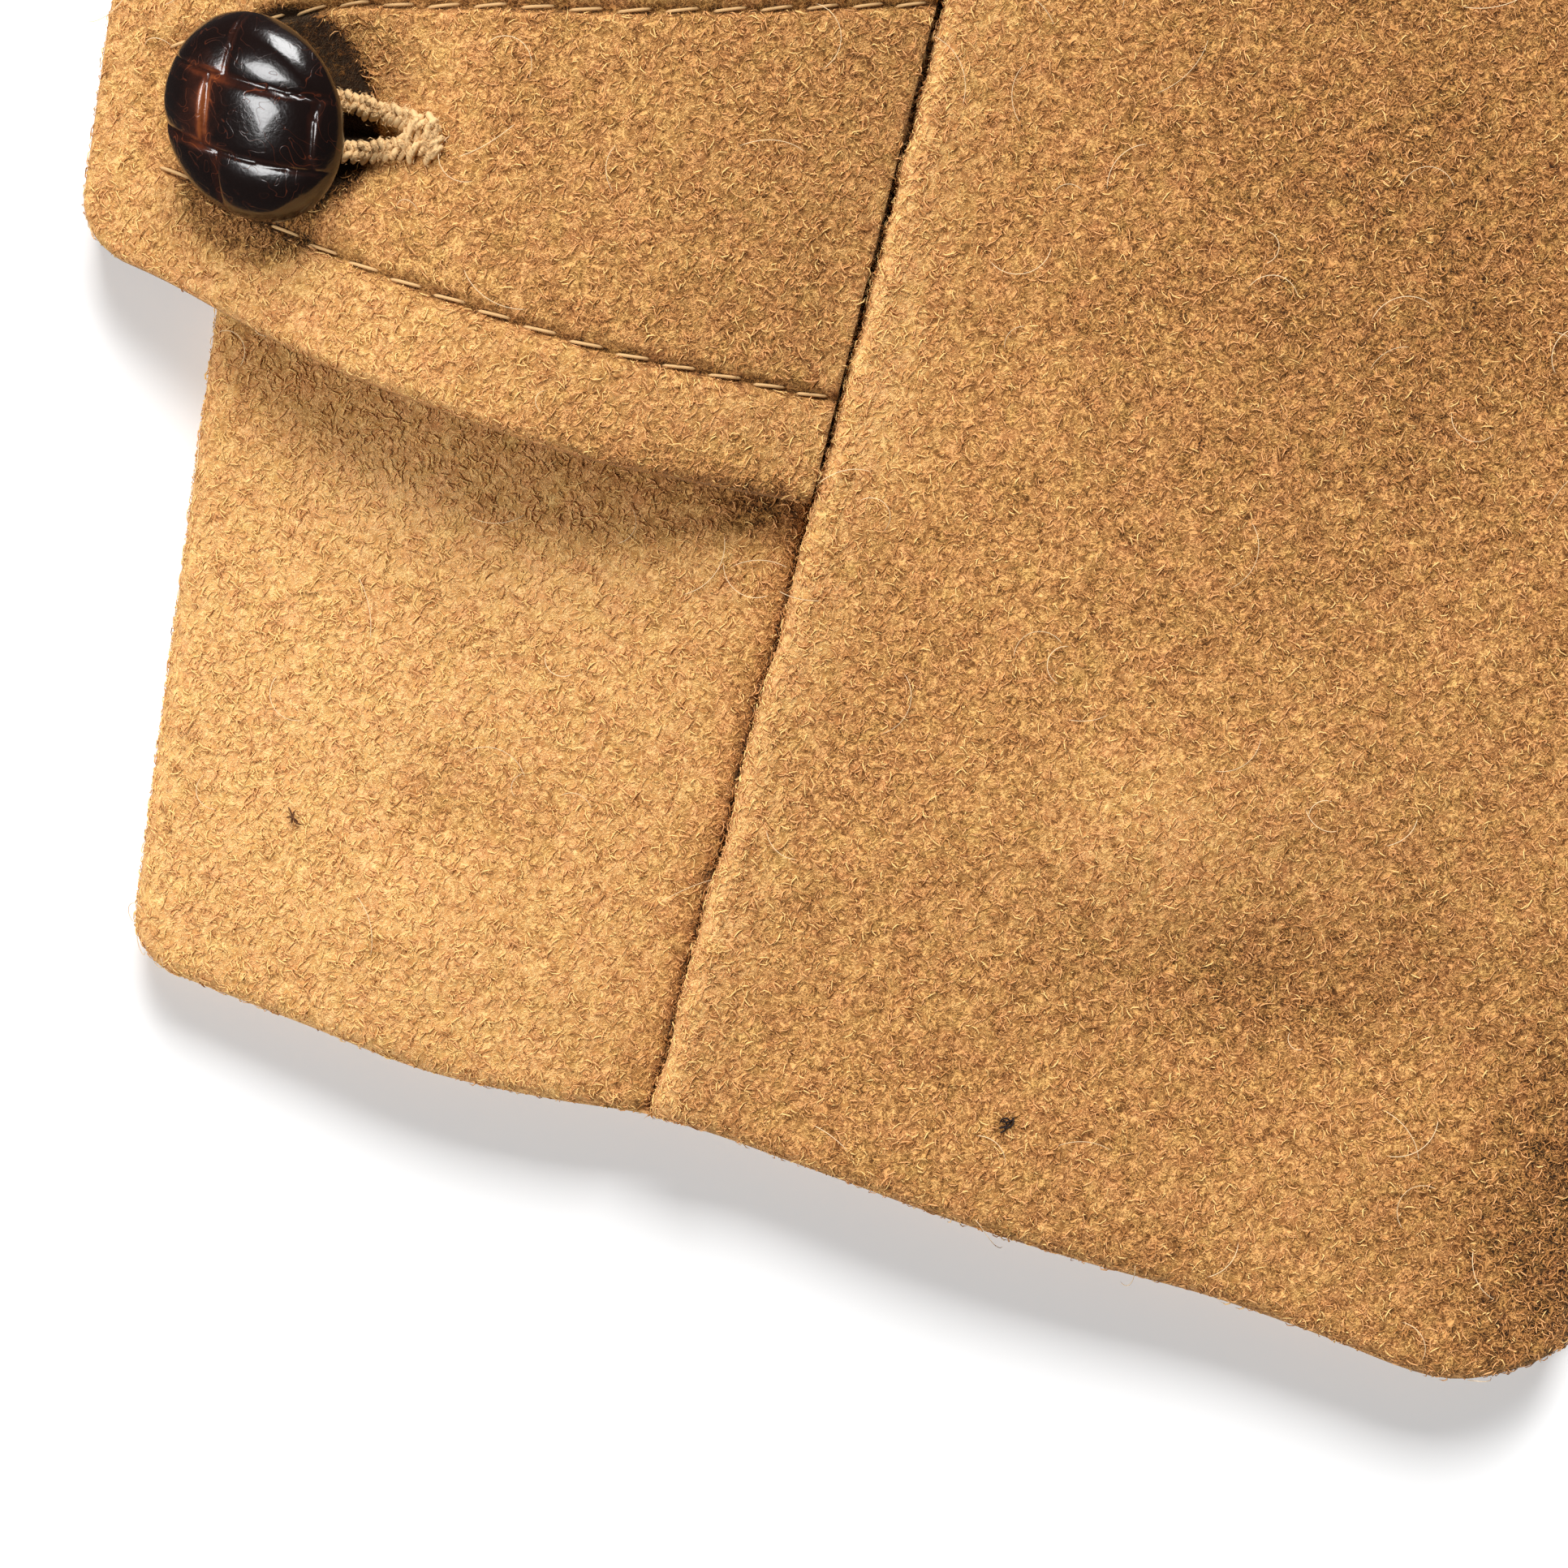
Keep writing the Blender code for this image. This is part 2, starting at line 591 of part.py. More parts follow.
def weave(x, y):
    """Relief of woven straps on a unit disc: each shows as a pillow that dives under its neighbours."""
    row = np.round((y - STRAP_MIDDLE[1]) / STRAP_WIDE)
    b = (y - STRAP_MIDDLE[1]) / STRAP_WIDE - row
    from_middle = (x - STRAP_MIDDLE[0] - STRAP_SHIFT * np.abs(row)) / STRAP_LONG
    step = np.round(from_middle)
    a = from_middle - step
    over = (row + step) % 2.0 == 0.0
    along = np.abs(2.0 * np.where(over, a, b))
    side = np.abs(2.0 * np.where(over, b, a))
    dive = 1.0 - STRAP_DIVE * along ** STRAP_DIVE_POWER
    return WEAVE_RELIEF * dive * (1.0 - STRAP_EDGE * side ** STRAP_EDGE_POWER)


def button(name, diameter, place, lean, material, mirrored=False):
    """A domed button of woven straps on a short shank: its weave is spun, then it leans to a bearing."""
    radius = 0.5 * diameter
    along, across = np.meshgrid(DOME_LINES_ALONG, DOME_LINES_ACROSS, indexing="ij")
    x = along * np.sqrt(1.0 - 0.5 * across ** 2)
    y = across * np.sqrt(1.0 - 0.5 * along ** 2)
    out = np.minimum(np.hypot(x, y), 1.0)
    radii, heights = (column(DOME_TABLE, DOME_COLUMNS, key) for key in DOME_COLUMNS)
    z = ease(radii, heights, out) + weave(x, y) * np.clip((1.0 - out) / DOME_RIM, 0.0, 1.0)
    mesh = bmesh.new()
    dome = [[mesh.verts.new(point) for point in row] for row in radius * np.stack((x, y, z), axis=2)]
    for low, high in zip(dome, dome[1:]):
        for k in range(len(low) - 1):
            mesh.faces.new((low[k], high[k], high[k + 1], low[k + 1]))
    rim = [row[0] for row in dome] + dome[-1][1:] + [row[-1] for row in dome[-2::-1]] + dome[0][-2:0:-1]
    rings = [rim]
    for share, height in UNDERSIDE_TABLE:
        rings.append([mesh.verts.new((share * v.co.x, share * v.co.y, height * radius)) for v in rim])
    foot = mesh.verts.new((0.0, 0.0, 0.0))
    for k in range(len(rim)):
        after = (k + 1) % len(rim)
        for high, low in zip(rings, rings[1:]):
            mesh.faces.new((low[k], low[after], high[after], high[k]))
        mesh.faces.new((foot, rings[-1][after], rings[-1][k]))
    bearing, tilt, spin = (math.radians(angle) for angle in lean)
    spun = Matrix.Rotation(tilt, 4, "Y") @ Matrix.Rotation(spin, 4, "Z")
    bmesh.ops.transform(mesh, matrix=Matrix.Rotation(bearing, 4, "Z") @ spun, verts=mesh.verts)
    bmesh.ops.translate(mesh, vec=Vector(place), verts=mesh.verts)
    if mirrored:
        bmesh.ops.scale(mesh, vec=Vector((-1.0, 1.0, 1.0)), verts=mesh.verts)
    return finished(name, mesh, material)


def collar_section(stand, fall, rest):
    """Chain of the collar from its base over the roll, the fall laid down until it meets its rest."""
    lean = math.radians(90.0 - COLLAR_LEAN)
    low, high = math.radians(COLLAR_DIP_LEAST), math.radians(COLLAR_DIP_MOST)
    for _ in range(COLLAR_HALVINGS):
        dip = 0.5 * (low + high)
        roll = (COLLAR_ROLL * (lean + dip), lean, -dip)
        arcs = [(stand, 0.5 * math.pi, lean), roll, (fall, -dip, -COLLAR_EASING * dip)]
        total = sum(arc[0] for arc in arcs)
        end = chain_points(arcs, (total,), COLLAR_BASE)[0]
        if end[1] - COLLAR_CLOTH * math.cos(end[2]) > rest:
            low = dip
        else:
            high = dip
    return arcs


def collar(material):
    """The collar: sections carried round the neck oval from one front end to the other."""
    angles, *sizes = (column(COLLAR_TABLE, COLLAR_COLUMNS, name) for name in COLLAR_COLUMNS)
    outer, inner = [], []
    for k in range(COLLAR_STATIONS):
        turn = angles[0] + (180.0 - 2.0 * angles[0]) * k / (COLLAR_STATIONS - 1)
        half = turn if turn <= 90.0 else 180.0 - turn
        stand, fall, spread, rest = (float(ease(angles, size, half)) for size in sizes)
        bearing = math.radians(half)
        depth = NECK_BACK if half > 0.0 else NECK_FRONT
        base = np.array((NECK_HALF_WIDTH * math.cos(bearing), NECK_CENTRE_Y + depth * math.sin(bearing)))
        facing = math.atan2(math.sin(bearing) / depth, math.cos(bearing) / NECK_HALF_WIDTH)
        facing += math.radians(max(0.0, spread))
        heading = np.array((math.cos(facing), math.sin(facing)))
        arcs = collar_section(stand, fall, rest)
        ends = np.cumsum([arc[0] for arc in arcs])
        distances = spaced((0.0, ends[0], STAND_STEPS), (ends[0], ends[1], ROLL_STEPS),
                           (ends[1], ends[2], FALL_STEPS))
        section = chain_points(arcs, distances, COLLAR_BASE)
        row = laid(base - heading * COLLAR_CLOTH, base + heading, section, COLLAR_CLOTH)
        if turn > 90.0:
            for points in row:
                points[:, 0] *= -1.0
        outer.append(row[0])
        inner.append(row[1])
    return closed_wall("collar", outer, inner, material, folded=False)


def centred():
    """Sets the whole coat on one empty so that the middle of its footprint is the origin."""
    parts = [item for item in bpy.data.objects if item.type == "MESH"]
    points = np.array([vertex.co for item in parts for vertex in item.data.vertices])
    middle = 0.5 * (points.min(axis=0) + points.max(axis=0))
    coat = bpy.data.objects.new("coat", None)
    bpy.context.scene.collection.objects.link(coat)
    coat.location = (-middle[0], -middle[1], -points[:, 2].min())
    for item in parts:
        item.parent = coat


for item in list(bpy.data.objects):
    bpy.data.objects.remove(item, do_unlink=True)

wool = principled("wool_coating", WOOL_COLOUR, 0.95)
leather = principled("woven_leather", LEATHER_COLOUR, 0.32)

back_panel(wool)
front_panel("front_right", wool, False, True)
front_panel("front_left", wool, True, False)
collar(wool)
for side_name, mirror in (("left", False), ("right", True)):
    seam_points = sleeve_panels(side_name, wool, mirror)
    middle, tab_heading, tab_top = cuff_tab(side_name, seam_points, wool, mirror)
    foot = (middle[0], middle[1], tab_top + BUTTON_CLEAR)
    bearing = math.degrees(math.atan2(tab_heading[1], tab_heading[0])) + BUTTON_TURN
    lean = (bearing, BUTTON_TILT, BUTTON_SPIN)
    button("button_cuff_" + side_name, CUFF_BUTTON, foot, lean, leather, mirror)
for number, drop in enumerate(FRONT_BUTTON_Y, start=1):
    foot = (0.0, drop, STACK + LAP_LIFT + FRONT_BUTTON_CLEAR)
    button("button_front_%d" % number, FRONT_BUTTON, foot, FRONT_BUTTON_LEAN, leather)
centred()
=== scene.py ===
import math

import bpy
import numpy as np
from mathutils import Matrix, Vector


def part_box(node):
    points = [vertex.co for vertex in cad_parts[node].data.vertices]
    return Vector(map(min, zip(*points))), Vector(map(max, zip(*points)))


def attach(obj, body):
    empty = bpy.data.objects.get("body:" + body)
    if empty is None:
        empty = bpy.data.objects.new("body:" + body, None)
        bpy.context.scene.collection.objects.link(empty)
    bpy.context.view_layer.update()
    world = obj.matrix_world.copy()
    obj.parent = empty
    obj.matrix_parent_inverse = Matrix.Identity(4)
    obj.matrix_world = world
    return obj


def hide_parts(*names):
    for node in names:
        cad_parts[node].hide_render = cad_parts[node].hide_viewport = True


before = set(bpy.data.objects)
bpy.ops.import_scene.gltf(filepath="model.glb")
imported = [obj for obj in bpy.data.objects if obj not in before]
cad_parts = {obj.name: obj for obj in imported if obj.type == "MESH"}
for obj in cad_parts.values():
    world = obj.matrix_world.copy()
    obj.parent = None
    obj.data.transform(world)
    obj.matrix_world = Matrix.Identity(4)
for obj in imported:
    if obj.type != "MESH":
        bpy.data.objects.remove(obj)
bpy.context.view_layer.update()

# Cutting sizes of the coat, in metres, as the solids have them
CLOTH = 0.0030
SLACK = 0.0036
STACK = 2.0 * CLOTH + SLACK
SEAM = 0.0003
SIDE_RADIUS = 0.5 * (STACK - SEAM)
EDGE_RUN = 0.5 * math.pi * SIDE_RADIUS
EDGE_FADE = 0.055
BODY_LENGTH = 0.880
HEM_HALF = 0.322
UNDERARM = np.array((0.285, -0.290))
WRAP = 0.025
LAP_LIFT = CLOTH + SEAM
LAP_RAMP = 0.014
LAP_CLEAR = 0.033
CENTRE_AT_UNDERARM = -0.330
CENTRE_AT_NECK = -0.0885
NECK_CENTRE_Y = -0.040
NECK_HALF_WIDTH = 0.088
NECK_BACK = 0.034
NECK_FRONT = 0.046
NECK_EASE = 0.0020
FRONT_RAGLAN_TOP = np.array((0.0915, -0.046))
BACK_RAGLAN_TOP = np.array((0.055, -0.001))
RAGLAN_SWELL = 0.008
SIDE_NECK = np.array((0.097, 0.004))
SHOULDER_PULL = np.array((0.370, -0.0964))
UPPER_ARM = np.array((0.430, -0.168))
CUFF_OUTER = np.array((0.7081, -0.4963))
CUFF_INNER = np.array((0.612, -0.6105))
ARM_LENGTH = float(np.linalg.norm(UPPER_ARM - CUFF_OUTER))
ELBOW_IN = 0.006
HEM_CORNER_INNER = 0.015
HEM_RISE_INNER = 0.0068
HEM_CORNER_OUTER = 0.005
HEM_RISE_OUTER = 0.0028
HEM_FADE = 0.022
HEM_COLUMNS = ("across", "rise")
HEM_TABLE = (
    (0.000, 0.0000),
    (0.019, -0.0011),
    (0.031, -0.0018),
    (0.045, -0.0006),
    (0.054, 0.0007),
    (0.070, 0.0004),
    (0.087, -0.0003),
    (0.100, -0.0003),
    (0.112, 0.0001),
    (0.124, -0.0004),
    (0.132, -0.0010),
    (0.145, 0.0000),
)
CROWN_RUN = 0.050
SEAM_DIP = 0.0013
SEAM_ZONE = 0.012
SLEEVE_COLUMNS = ("place", "seam_run", "tilt", "ridge")
SLEEVE_TABLE = (
    (0.00, 0.0562, 6.5, 0.0020),
    (0.12, 0.06265, 6.3, 0.0020),
    (0.25, 0.0694, 6.0, 0.0020),
    (0.60, 0.0790, 4.0, 0.0016),
    (1.00, 0.0560, 1.5, 0.0012),
    (1.50, 0.0260, 0.0, 0.0006),
    (2.00, 0.0130, 0.0, 0.0000),
)
FOLD_TABLE = (
    (0.205, -0.900, 0.165, -0.520, 0.0110, 0.060),
    (-0.150, -0.900, -0.130, -0.560, 0.0090, 0.055),
    (-0.268, -0.905, -0.235, -0.610, 0.0070, 0.045),
    (0.245, -0.330, 0.130, -0.430, 0.0060, 0.045),
    (-0.245, -0.330, -0.140, -0.450, 0.0070, 0.045),
    (0.470, -0.235, 0.420, -0.420, 0.0060, 0.035),
    (-0.440, -0.205, -0.410, -0.385, 0.0055, 0.035),
)
COLLAR_CLOTH = 0.0045
COLLAR_ROLL = 0.0080
COLLAR_LEAN = math.radians(84.0)
COLLAR_BASE = CLOTH + SEAM
COLLAR_COLUMNS = ("angle", "stand", "fall", "spread", "rest")
COLLAR_TABLE = (
    (-87.0, 0.0120, 0.082, 30.0, 0.0134),
    (-70.0, 0.0125, 0.074, 14.0, 0.0134),
    (-45.0, 0.0145, 0.068, 0.0, 0.0101),
    (-10.0, 0.0190, 0.062, 0.0, 0.0101),
    (30.0, 0.0235, 0.059, 0.0, 0.0101),
    (90.0, 0.0260, 0.060, 0.0, 0.0090),
)
TAB_RISE = 0.0918
TAB_TURN = math.radians(96.2)
TAB_COLUMNS = ("along", "half_width", "top", "thick")
TAB_TABLE = (
    (0.0000, 0.0296, 0.0110, 0.0022),
    (0.0090, 0.0294, 0.0148, 0.0042),
    (0.0230, 0.0287, 0.0181, 0.0044),
    (0.0390, 0.0260, 0.0183, 0.0044),
    (0.0520, 0.0228, 0.0157, 0.0044),
    (0.0610, 0.0196, 0.0127, 0.0044),
    (0.0695, 0.0163, 0.0094, 0.0044),
    (0.0786, 0.0135, 0.0058, 0.0044),
)
TAB_LENGTH = TAB_TABLE[-1][0]
TAB_CROWDING = 1.35
TAB_CORNER = 0.0048
CUFF_BUTTON = 0.0202
FRONT_BUTTON = 0.0260
BUTTON_ALONG = 0.0600
BUTTON_TILT = 36.0
BUTTON_TURN = -43.5
BUTTON_SPIN = 50.0
BUTTON_CLEAR = 0.0032
FRONT_BUTTON_CLEAR = 0.0018
FRONT_BUTTON_Y = (-0.128, -0.278, -0.428, -0.578)
FRONT_BUTTON_LEAN = (-90.0, 0.0, 0.0)
DOME_COLUMNS = ("radius", "height")
DOME_TABLE = (
    (0.00, 0.685),
    (0.30, 0.670),
    (0.46, 0.645),
    (0.62, 0.602),
    (0.76, 0.548),
    (0.88, 0.478),
    (0.96, 0.400),
    (1.00, 0.310),
)
UNDERSIDE_TABLE = ((0.98, 0.24), (0.86, 0.15), (0.55, 0.10), (0.16, 0.09), (0.16, 0.00))
DOME_RIM = 0.12
STRAP_LONG = 1.13
STRAP_WIDE = 0.70
STRAP_SHIFT = -0.18
STRAP_MIDDLE = (-0.25, 0.08)
STRAP_DIVE = 0.85
STRAP_DIVE_POWER = 2.5
STRAP_EDGE = 0.35
STRAP_EDGE_POWER = 6.0
STRAP_GAP = 0.020
WEAVE_RELIEF = 0.065
WORN_SPOT = (0.34, 0.12)
WORN_HALF = (0.24, 0.42)
SPOT_WEAR = 0.55
EDGE_WEAR = (0.28, 0.80)
EDGE_WEAR_OFF = 0.032

# The coat's own neck point lies this far up from the middle of its footprint
NECK_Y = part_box("back")[0].y + BODY_LENGTH

# Sewing and small form that the solids leave out
HEM_ROUND = 0.0015
SEAM_TOUCH = 0.00002
SEAM_ROLL = 0.0023
SEAM_TUCK = 0.0017
SEAM_WOBBLE = 0.00022
SEAM_SEED = 3
SEAM_NEAR = 0.25
SEAM_FUZZ = 2.0
SEAM_FUZZ_COLUMNS = 10
SEAM_LINE = 0.00030
WAVER_WAVES = 5
WAVER_LENGTHS = (0.004, 0.030)
WAVER_SCALE = 3.0
COLLAR_ROUND = 0.0020
COLLAR_TIP_RUN = 0.05
COLLAR_LEVEL = 0.6
COLLAR_DIPS = (-30.0, 80.0)
COLLAR_TRIES = 40
STITCH_INSET = 0.0103
STITCH_END_INSET = 0.0060
STITCH_PITCH = 0.0046
STITCH_LENGTH = 0.0040
STITCH_BOW = 0.00062
STITCH_SLANT = 0.00020
STITCH_STOPS = 7
STITCH_START = 0.0004
STITCH_POINTS = 200
STITCH_ZONE = 0.0016
STITCH_MOST = 0.62
LONG_SIDE_FADE = 0.006
THREAD = 0.00018
THREAD_SIDES = 5
EDGE_BOW = 2.0 * THREAD
RIM_PUFF = 0.00045
PUFF_REACH = 0.0025
STITCH_GROOVE = 0.00090
GROOVE_WIDTH = 0.00055
GROOVE_AT_END = 0.25
TAB_EDGE_ROUND = 0.0009
TAB_EDGE_ZONE = 0.0018
TAB_END_RATE = 1.25
DIMPLE = 0.0014
DIMPLE_REACH = 0.0100
HOLE_START = 0.0468
HOLE_ASIDE = -0.00055
HOLE_LENGTH = 0.0150
HOLE_SLIT = 0.0018
HOLE_SEED = 11
SLIT_END = 0.001
SLIT_WIDTHS = (0.0004, 0.0010)
PURL = 0.00038
PURL_PITCH = 0.00064
PURL_STOPS = 6
PURL_PLACES = (0.3, 0.7)
PURL_LENGTHS = (0.0010, 0.0016)
PURL_BACK = 0.15
PURL_SLANTS = (0.0006, 0.0013)
PURL_RISES = (0.0007, 0.0013)
PURL_ARCH = 0.6
PURL_SINK = 0.0003
RIDGE_FROM = 0.00140
RIDGE_TO = 0.00400
BAR_BACK = 0.0014
BAR_SPREAD = 0.0016
BAR_STRANDS = 30
BAR_LEAST = (0.6, 0.0018, 0.0007)
BAR_MOST = (2.6, 0.0032, 0.0015)
FRONT_HOLE_LENGTH = 0.0240
SHANK_THREADS = 7
SHANK_RADIUS = 0.0009
SHANK_TWIST = 0.6
SHANK_TOP = 0.0008
SHANK_SINK = 0.0013
UPPER_STITCH_COLUMNS = ("along", "inset")
UPPER_STITCH_TABLE = (
    (0.0000, 0.0093),
    (0.0100, 0.0117),
    (0.0200, 0.0136),
    (0.0290, 0.0141),
    (0.0390, 0.0131),
    (0.0485, 0.0119),
    (0.0535, 0.0106),
    (0.0600, 0.0098),
    (0.0786, 0.0092),
)

# Share of the outer face's rounding that the inner face of a piece has
FRONT_INNER = 0.7
SLEEVE_INNER = 0.8
COLLAR_INNER = 0.6
TAB_INNER = 0.5

# Rows and steps of the pieces' grids, with finer ones for the sleeve and tab in the picture
ROW_CROWDING = 1.25
FRONT_ROWS = (60, 40)
FRONT_STEPS = (6, 38, 10, 22)
BACK_ROWS = (50, 24)
BACK_STEPS = (5, 60, 5)
COLLAR_ROWS = 100
COLLAR_STEPS = (8, 16, 36)
CUFF_SHARE = 0.34
CUFF_CROWDING = 1.15
PLAIN_SLEEVE_ROWS = (36, 30, 24)
FINE_SLEEVE_ROWS = (120, 40, 30)
SLEEVE_FRONT_STEPS = (5, 4, 20, 5)
SLEEVE_BACK_STEPS = (5, 4, 12, 5)
SLEEVE_UNDER_STEPS = (6, 14, 5)
PLAIN_TAB_STEPS = (40, 3, 4, 4, 16)
FINE_TAB_STEPS = (112, 7, 9, 8, 40)
TAB_TURN_ROWS = 8
TAB_END_ROWS = 6
PLAIN_BUTTON_LINES = 40
FINE_BUTTON_LINES = 84

# Rows and columns of the fronts and the collar, counted from an edge, that their edge stitching follows
LAP_INSET = 5
TIP_INSET = 3
FALL_INSET = 6
FALL_FROM = 26

# Cut of each kind of piece, across by along, as far as it shows
CUTS = {
    "back": (0.655, 0.88),
    "front": (0.352, 0.835),
    "collar": (0.56, 0.105),
    "sleeve_front": (0.15, 0.81),
    "sleeve_back": (0.264, 0.82),
    "cuff_tab": (0.062, 0.086),
}

# Tone of the cloth of each kind of piece, with painted light and shade: each kind is painted lighter or
# darker by whether its nap lies to or from the light
TONES_AND_SHADES = {
    "back": 0.92,
    "front": 0.86,
    "collar": 0.86,
    "sleeve_front": 0.76,
    "sleeve_back": 1.04,
    "cuff_tab": 0.80,
}

# Soft swells and hollows of the cuff, seen as in the picture: middle, turn, half length, half width, height
SWELL_TABLE = (
    (0.1033, 0.0143, 20.0, 0.040, 0.014, 0.0019),
    (0.1121, -0.0044, -20.0, 0.030, 0.012, -0.0023),
    (0.0835, -0.0206, -18.0, 0.025, 0.010, 0.0014),
    (0.0676, -0.0064, 75.0, 0.014, 0.008, -0.0010),
    (0.0311, 0.0151, 0.0, 0.009, 0.006, -0.0005),
    (0.0327, 0.0000, -18.0, 0.020, 0.010, 0.0009),
    (0.0874, 0.0699, 75.0, 0.030, 0.010, -0.0012),
    (0.1152, 0.0540, 60.0, 0.040, 0.016, 0.0012),
    (0.1475, -0.0220, 90.0, 0.018, 0.0075, -0.0018),
)

# Creases of the upper layers elsewhere: ends in plan on one half, height and half width.
# The other half has them too, and the line between the halves is shifted so that they do not match
CREASE_TABLE = (
    (0.455, -0.330, 0.545, -0.290, -0.0026, 0.009),
    (0.470, -0.365, 0.560, -0.330, 0.0038, 0.010),
    (0.490, -0.405, 0.575, -0.375, -0.0024, 0.009),
    (0.330, -0.270, 0.395, -0.200, -0.0027, 0.010),
    (0.355, -0.300, 0.430, -0.235, 0.0038, 0.010),
    (0.200, -0.350, 0.120, -0.240, -0.0025, 0.012),
    (0.230, -0.420, 0.110, -0.350, 0.0042, 0.012),
    (0.265, -0.560, 0.150, -0.520, -0.0025, 0.013),
    (0.285, -0.700, 0.205, -0.640, 0.0038, 0.013),
    (0.060, -0.690, 0.150, -0.780, -0.0024, 0.013),
    (0.240, -0.480, 0.290, -0.620, 0.0034, 0.011),
    (0.110, -0.180, 0.190, -0.290, 0.0034, 0.013),
    (0.215, -0.520, 0.245, -0.900, 0.0042, 0.017),
    (0.165, -0.560, 0.190, -0.900, -0.0025, 0.015),
    (0.095, -0.460, 0.105, -0.900, 0.0036, 0.016),
)
CREASE_SHIFT = 0.012

# Painted shading, with a soiled patch, of the right cuff, seen as in the picture: middle, half length, half
# width and strength.
# The first two spots are a soiled patch; the next seven are painted shade, in a hollow, at the corner away
# from the light, along the inner fold, at the tab's root and under the tab's edge; each spot of negative
# strength is painted light
SHADING_AND_SMUDGE_TABLE = (
    (0.0311, 0.0151, 0.0060, 0.0034, 0.80),
    (0.0395, 0.0130, 0.0040, 0.0030, 0.45),
    (0.1137, -0.0032, 0.0140, 0.0070, 0.50),
    (0.1270, 0.0740, 0.0300, 0.0320, 0.50),
    (0.1420, -0.0290, 0.0120, 0.0200, 1.10),
    (0.0632, 0.0437, 0.0035, 0.0025, 1.20),
    (0.0597, 0.0455, 0.0050, 0.0026, 0.60),
    (0.0517, 0.0474, 0.0060, 0.0026, 0.60),
    (0.0438, 0.0504, 0.0060, 0.0026, 0.45),
    (0.0140, 0.0180, 0.0220, 0.0360, -0.60),
    (0.1010, 0.0120, 0.0150, 0.0085, -0.60),
    (0.0747, 0.0580, 0.0050, 0.0120, -0.45),
    (0.0265, 0.0452, 0.0090, 0.0045, -0.70),
    (0.0414, 0.0365, 0.0100, 0.0040, -0.40),
    (0.0320, 0.0800, 0.0050, 0.0120, -0.40),
)

# Painted shade and light beside the overarm seam, on the sleeve front and on the sleeve back: the strength of
# its line of painted shade, and the strength and reach of what lies beyond the line, painted light on the
# front's rolled rim, painted shade on the back
SEAM_SHADING = ((0.5, -1.4, 0.0045), (2.4, 1.3, 0.0024))

# Painted shade and light of the tab: strength and half width of the painted shade in its stitching line,
# strength, start and reach of the painted shade in the slit, strength and reach of the painted light on the
# rim, strength, start and reach of the painted light on the end
LINE_SHADE = (0.9, 0.00045)
SLIT_SHADE = (3.0, 0.0020, 0.0025)
RIM_LIGHT = (0.45, 0.0020)
END_LIGHT = (0.15, 0.040, 0.020)

# Painted shadows of the cuff button on the tab: strength and shifts towards the seam and up, then the cosine
# and sine of their turn, their half sizes, inner edge and fade
BUTTON_SHADOW_TABLE = ((2.7, 0.0022, 0.0015), (1.05, -0.0016, -0.0050))
BUTTON_SHADOW_TURN = (0.854, 0.521)
BUTTON_SHADOW_HALF = (0.0078, 0.0104)
BUTTON_SHADOW_EDGE = 0.86
BUTTON_SHADOW_FADE = 0.22

# Parts of the tab without nap: its stitching lines' half width and end, its buttonhole's back and side
BARE_LINE = 0.0006
BARE_END = 1.3
BARE_BACK = -0.0040
BARE_ASIDE = 0.0030

# Lint caught in the nap: tint, its middle as seen in the picture, spread and number of strands
LINT_TABLE = (
    ("dark", (0.020, 0.012, 0.010), 0.0865, -0.0155, 0.00026, 5),
    ("brown", (0.110, 0.042, 0.015), 0.0160, 0.0135, 0.00025, 3),
)
LINT_RADIUS = 0.00009
LINT_RISE = 0.0002
UPPER_FIRST = 0.05

# Camera: the picture's width on the cuff, its middle from the hem's outer corner, and its turn
PICTURE_WIDTH = 0.1534
PICTURE_TURN = math.radians(32.6)
PICTURE_MIDDLE = (0.0649, 0.0170)
PICTURE_HEIGHT = 0.0090
LENS = 85.0
SENSOR = 36.0
PICTURE_RIGHT = np.array((math.cos(PICTURE_TURN), -math.sin(PICTURE_TURN)))
PICTURE_UP = np.array((math.sin(PICTURE_TURN), math.cos(PICTURE_TURN)))
CUFF_CORNER = np.array((-CUFF_OUTER[0], CUFF_OUTER[1] + NECK_Y))
PICTURE_AIM = CUFF_CORNER + PICTURE_MIDDLE[0] * PICTURE_RIGHT + PICTURE_MIDDLE[1] * PICTURE_UP
MIRROR = np.array((-1.0, 1.0))

# Lamps: way round from the picture's right, tilt off the floor, distance, size and power
LAMPS = (
    ("top", 82.0, 38.0, 5.0, 2.80, 383.0),
    ("side", 200.0, 45.0, 5.0, 2.20, 205.0),
)
SURROUNDINGS = 0.06
FLOOR_HALF = 6.0
FLOOR_DROP = 0.0004

# Colours, with a place on each ramp: wool from its depth to its tips, leather from unworn to worn
WOOL_RAMP = (
    # the darkest stop serves the painted shade of the buttonhole's slit and of the button's shadows
    (0.0, (0.020, 0.008, 0.003)),
    (0.16, (0.150, 0.058, 0.014)),
    (0.38, (0.450, 0.204, 0.060)),
    (0.60, (0.758, 0.399, 0.137)),
    (0.90, (0.920, 0.557, 0.230)),
)
LEATHER_RAMP = (
    (0.10, (0.0070, 0.0028, 0.0022)),
    (0.36, (0.032, 0.0085, 0.0045)),
    (0.70, (0.105, 0.023, 0.008)),
    (1.0, (0.250, 0.066, 0.018)),
)
STITCH_COLOUR = (0.64, 0.40, 0.18)
PURL_COLOUR = (0.76, 0.50, 0.24)
STRAY_COLOUR = (0.88, 0.66, 0.40)
FLOOR_COLOUR = (0.90, 0.90, 0.90)
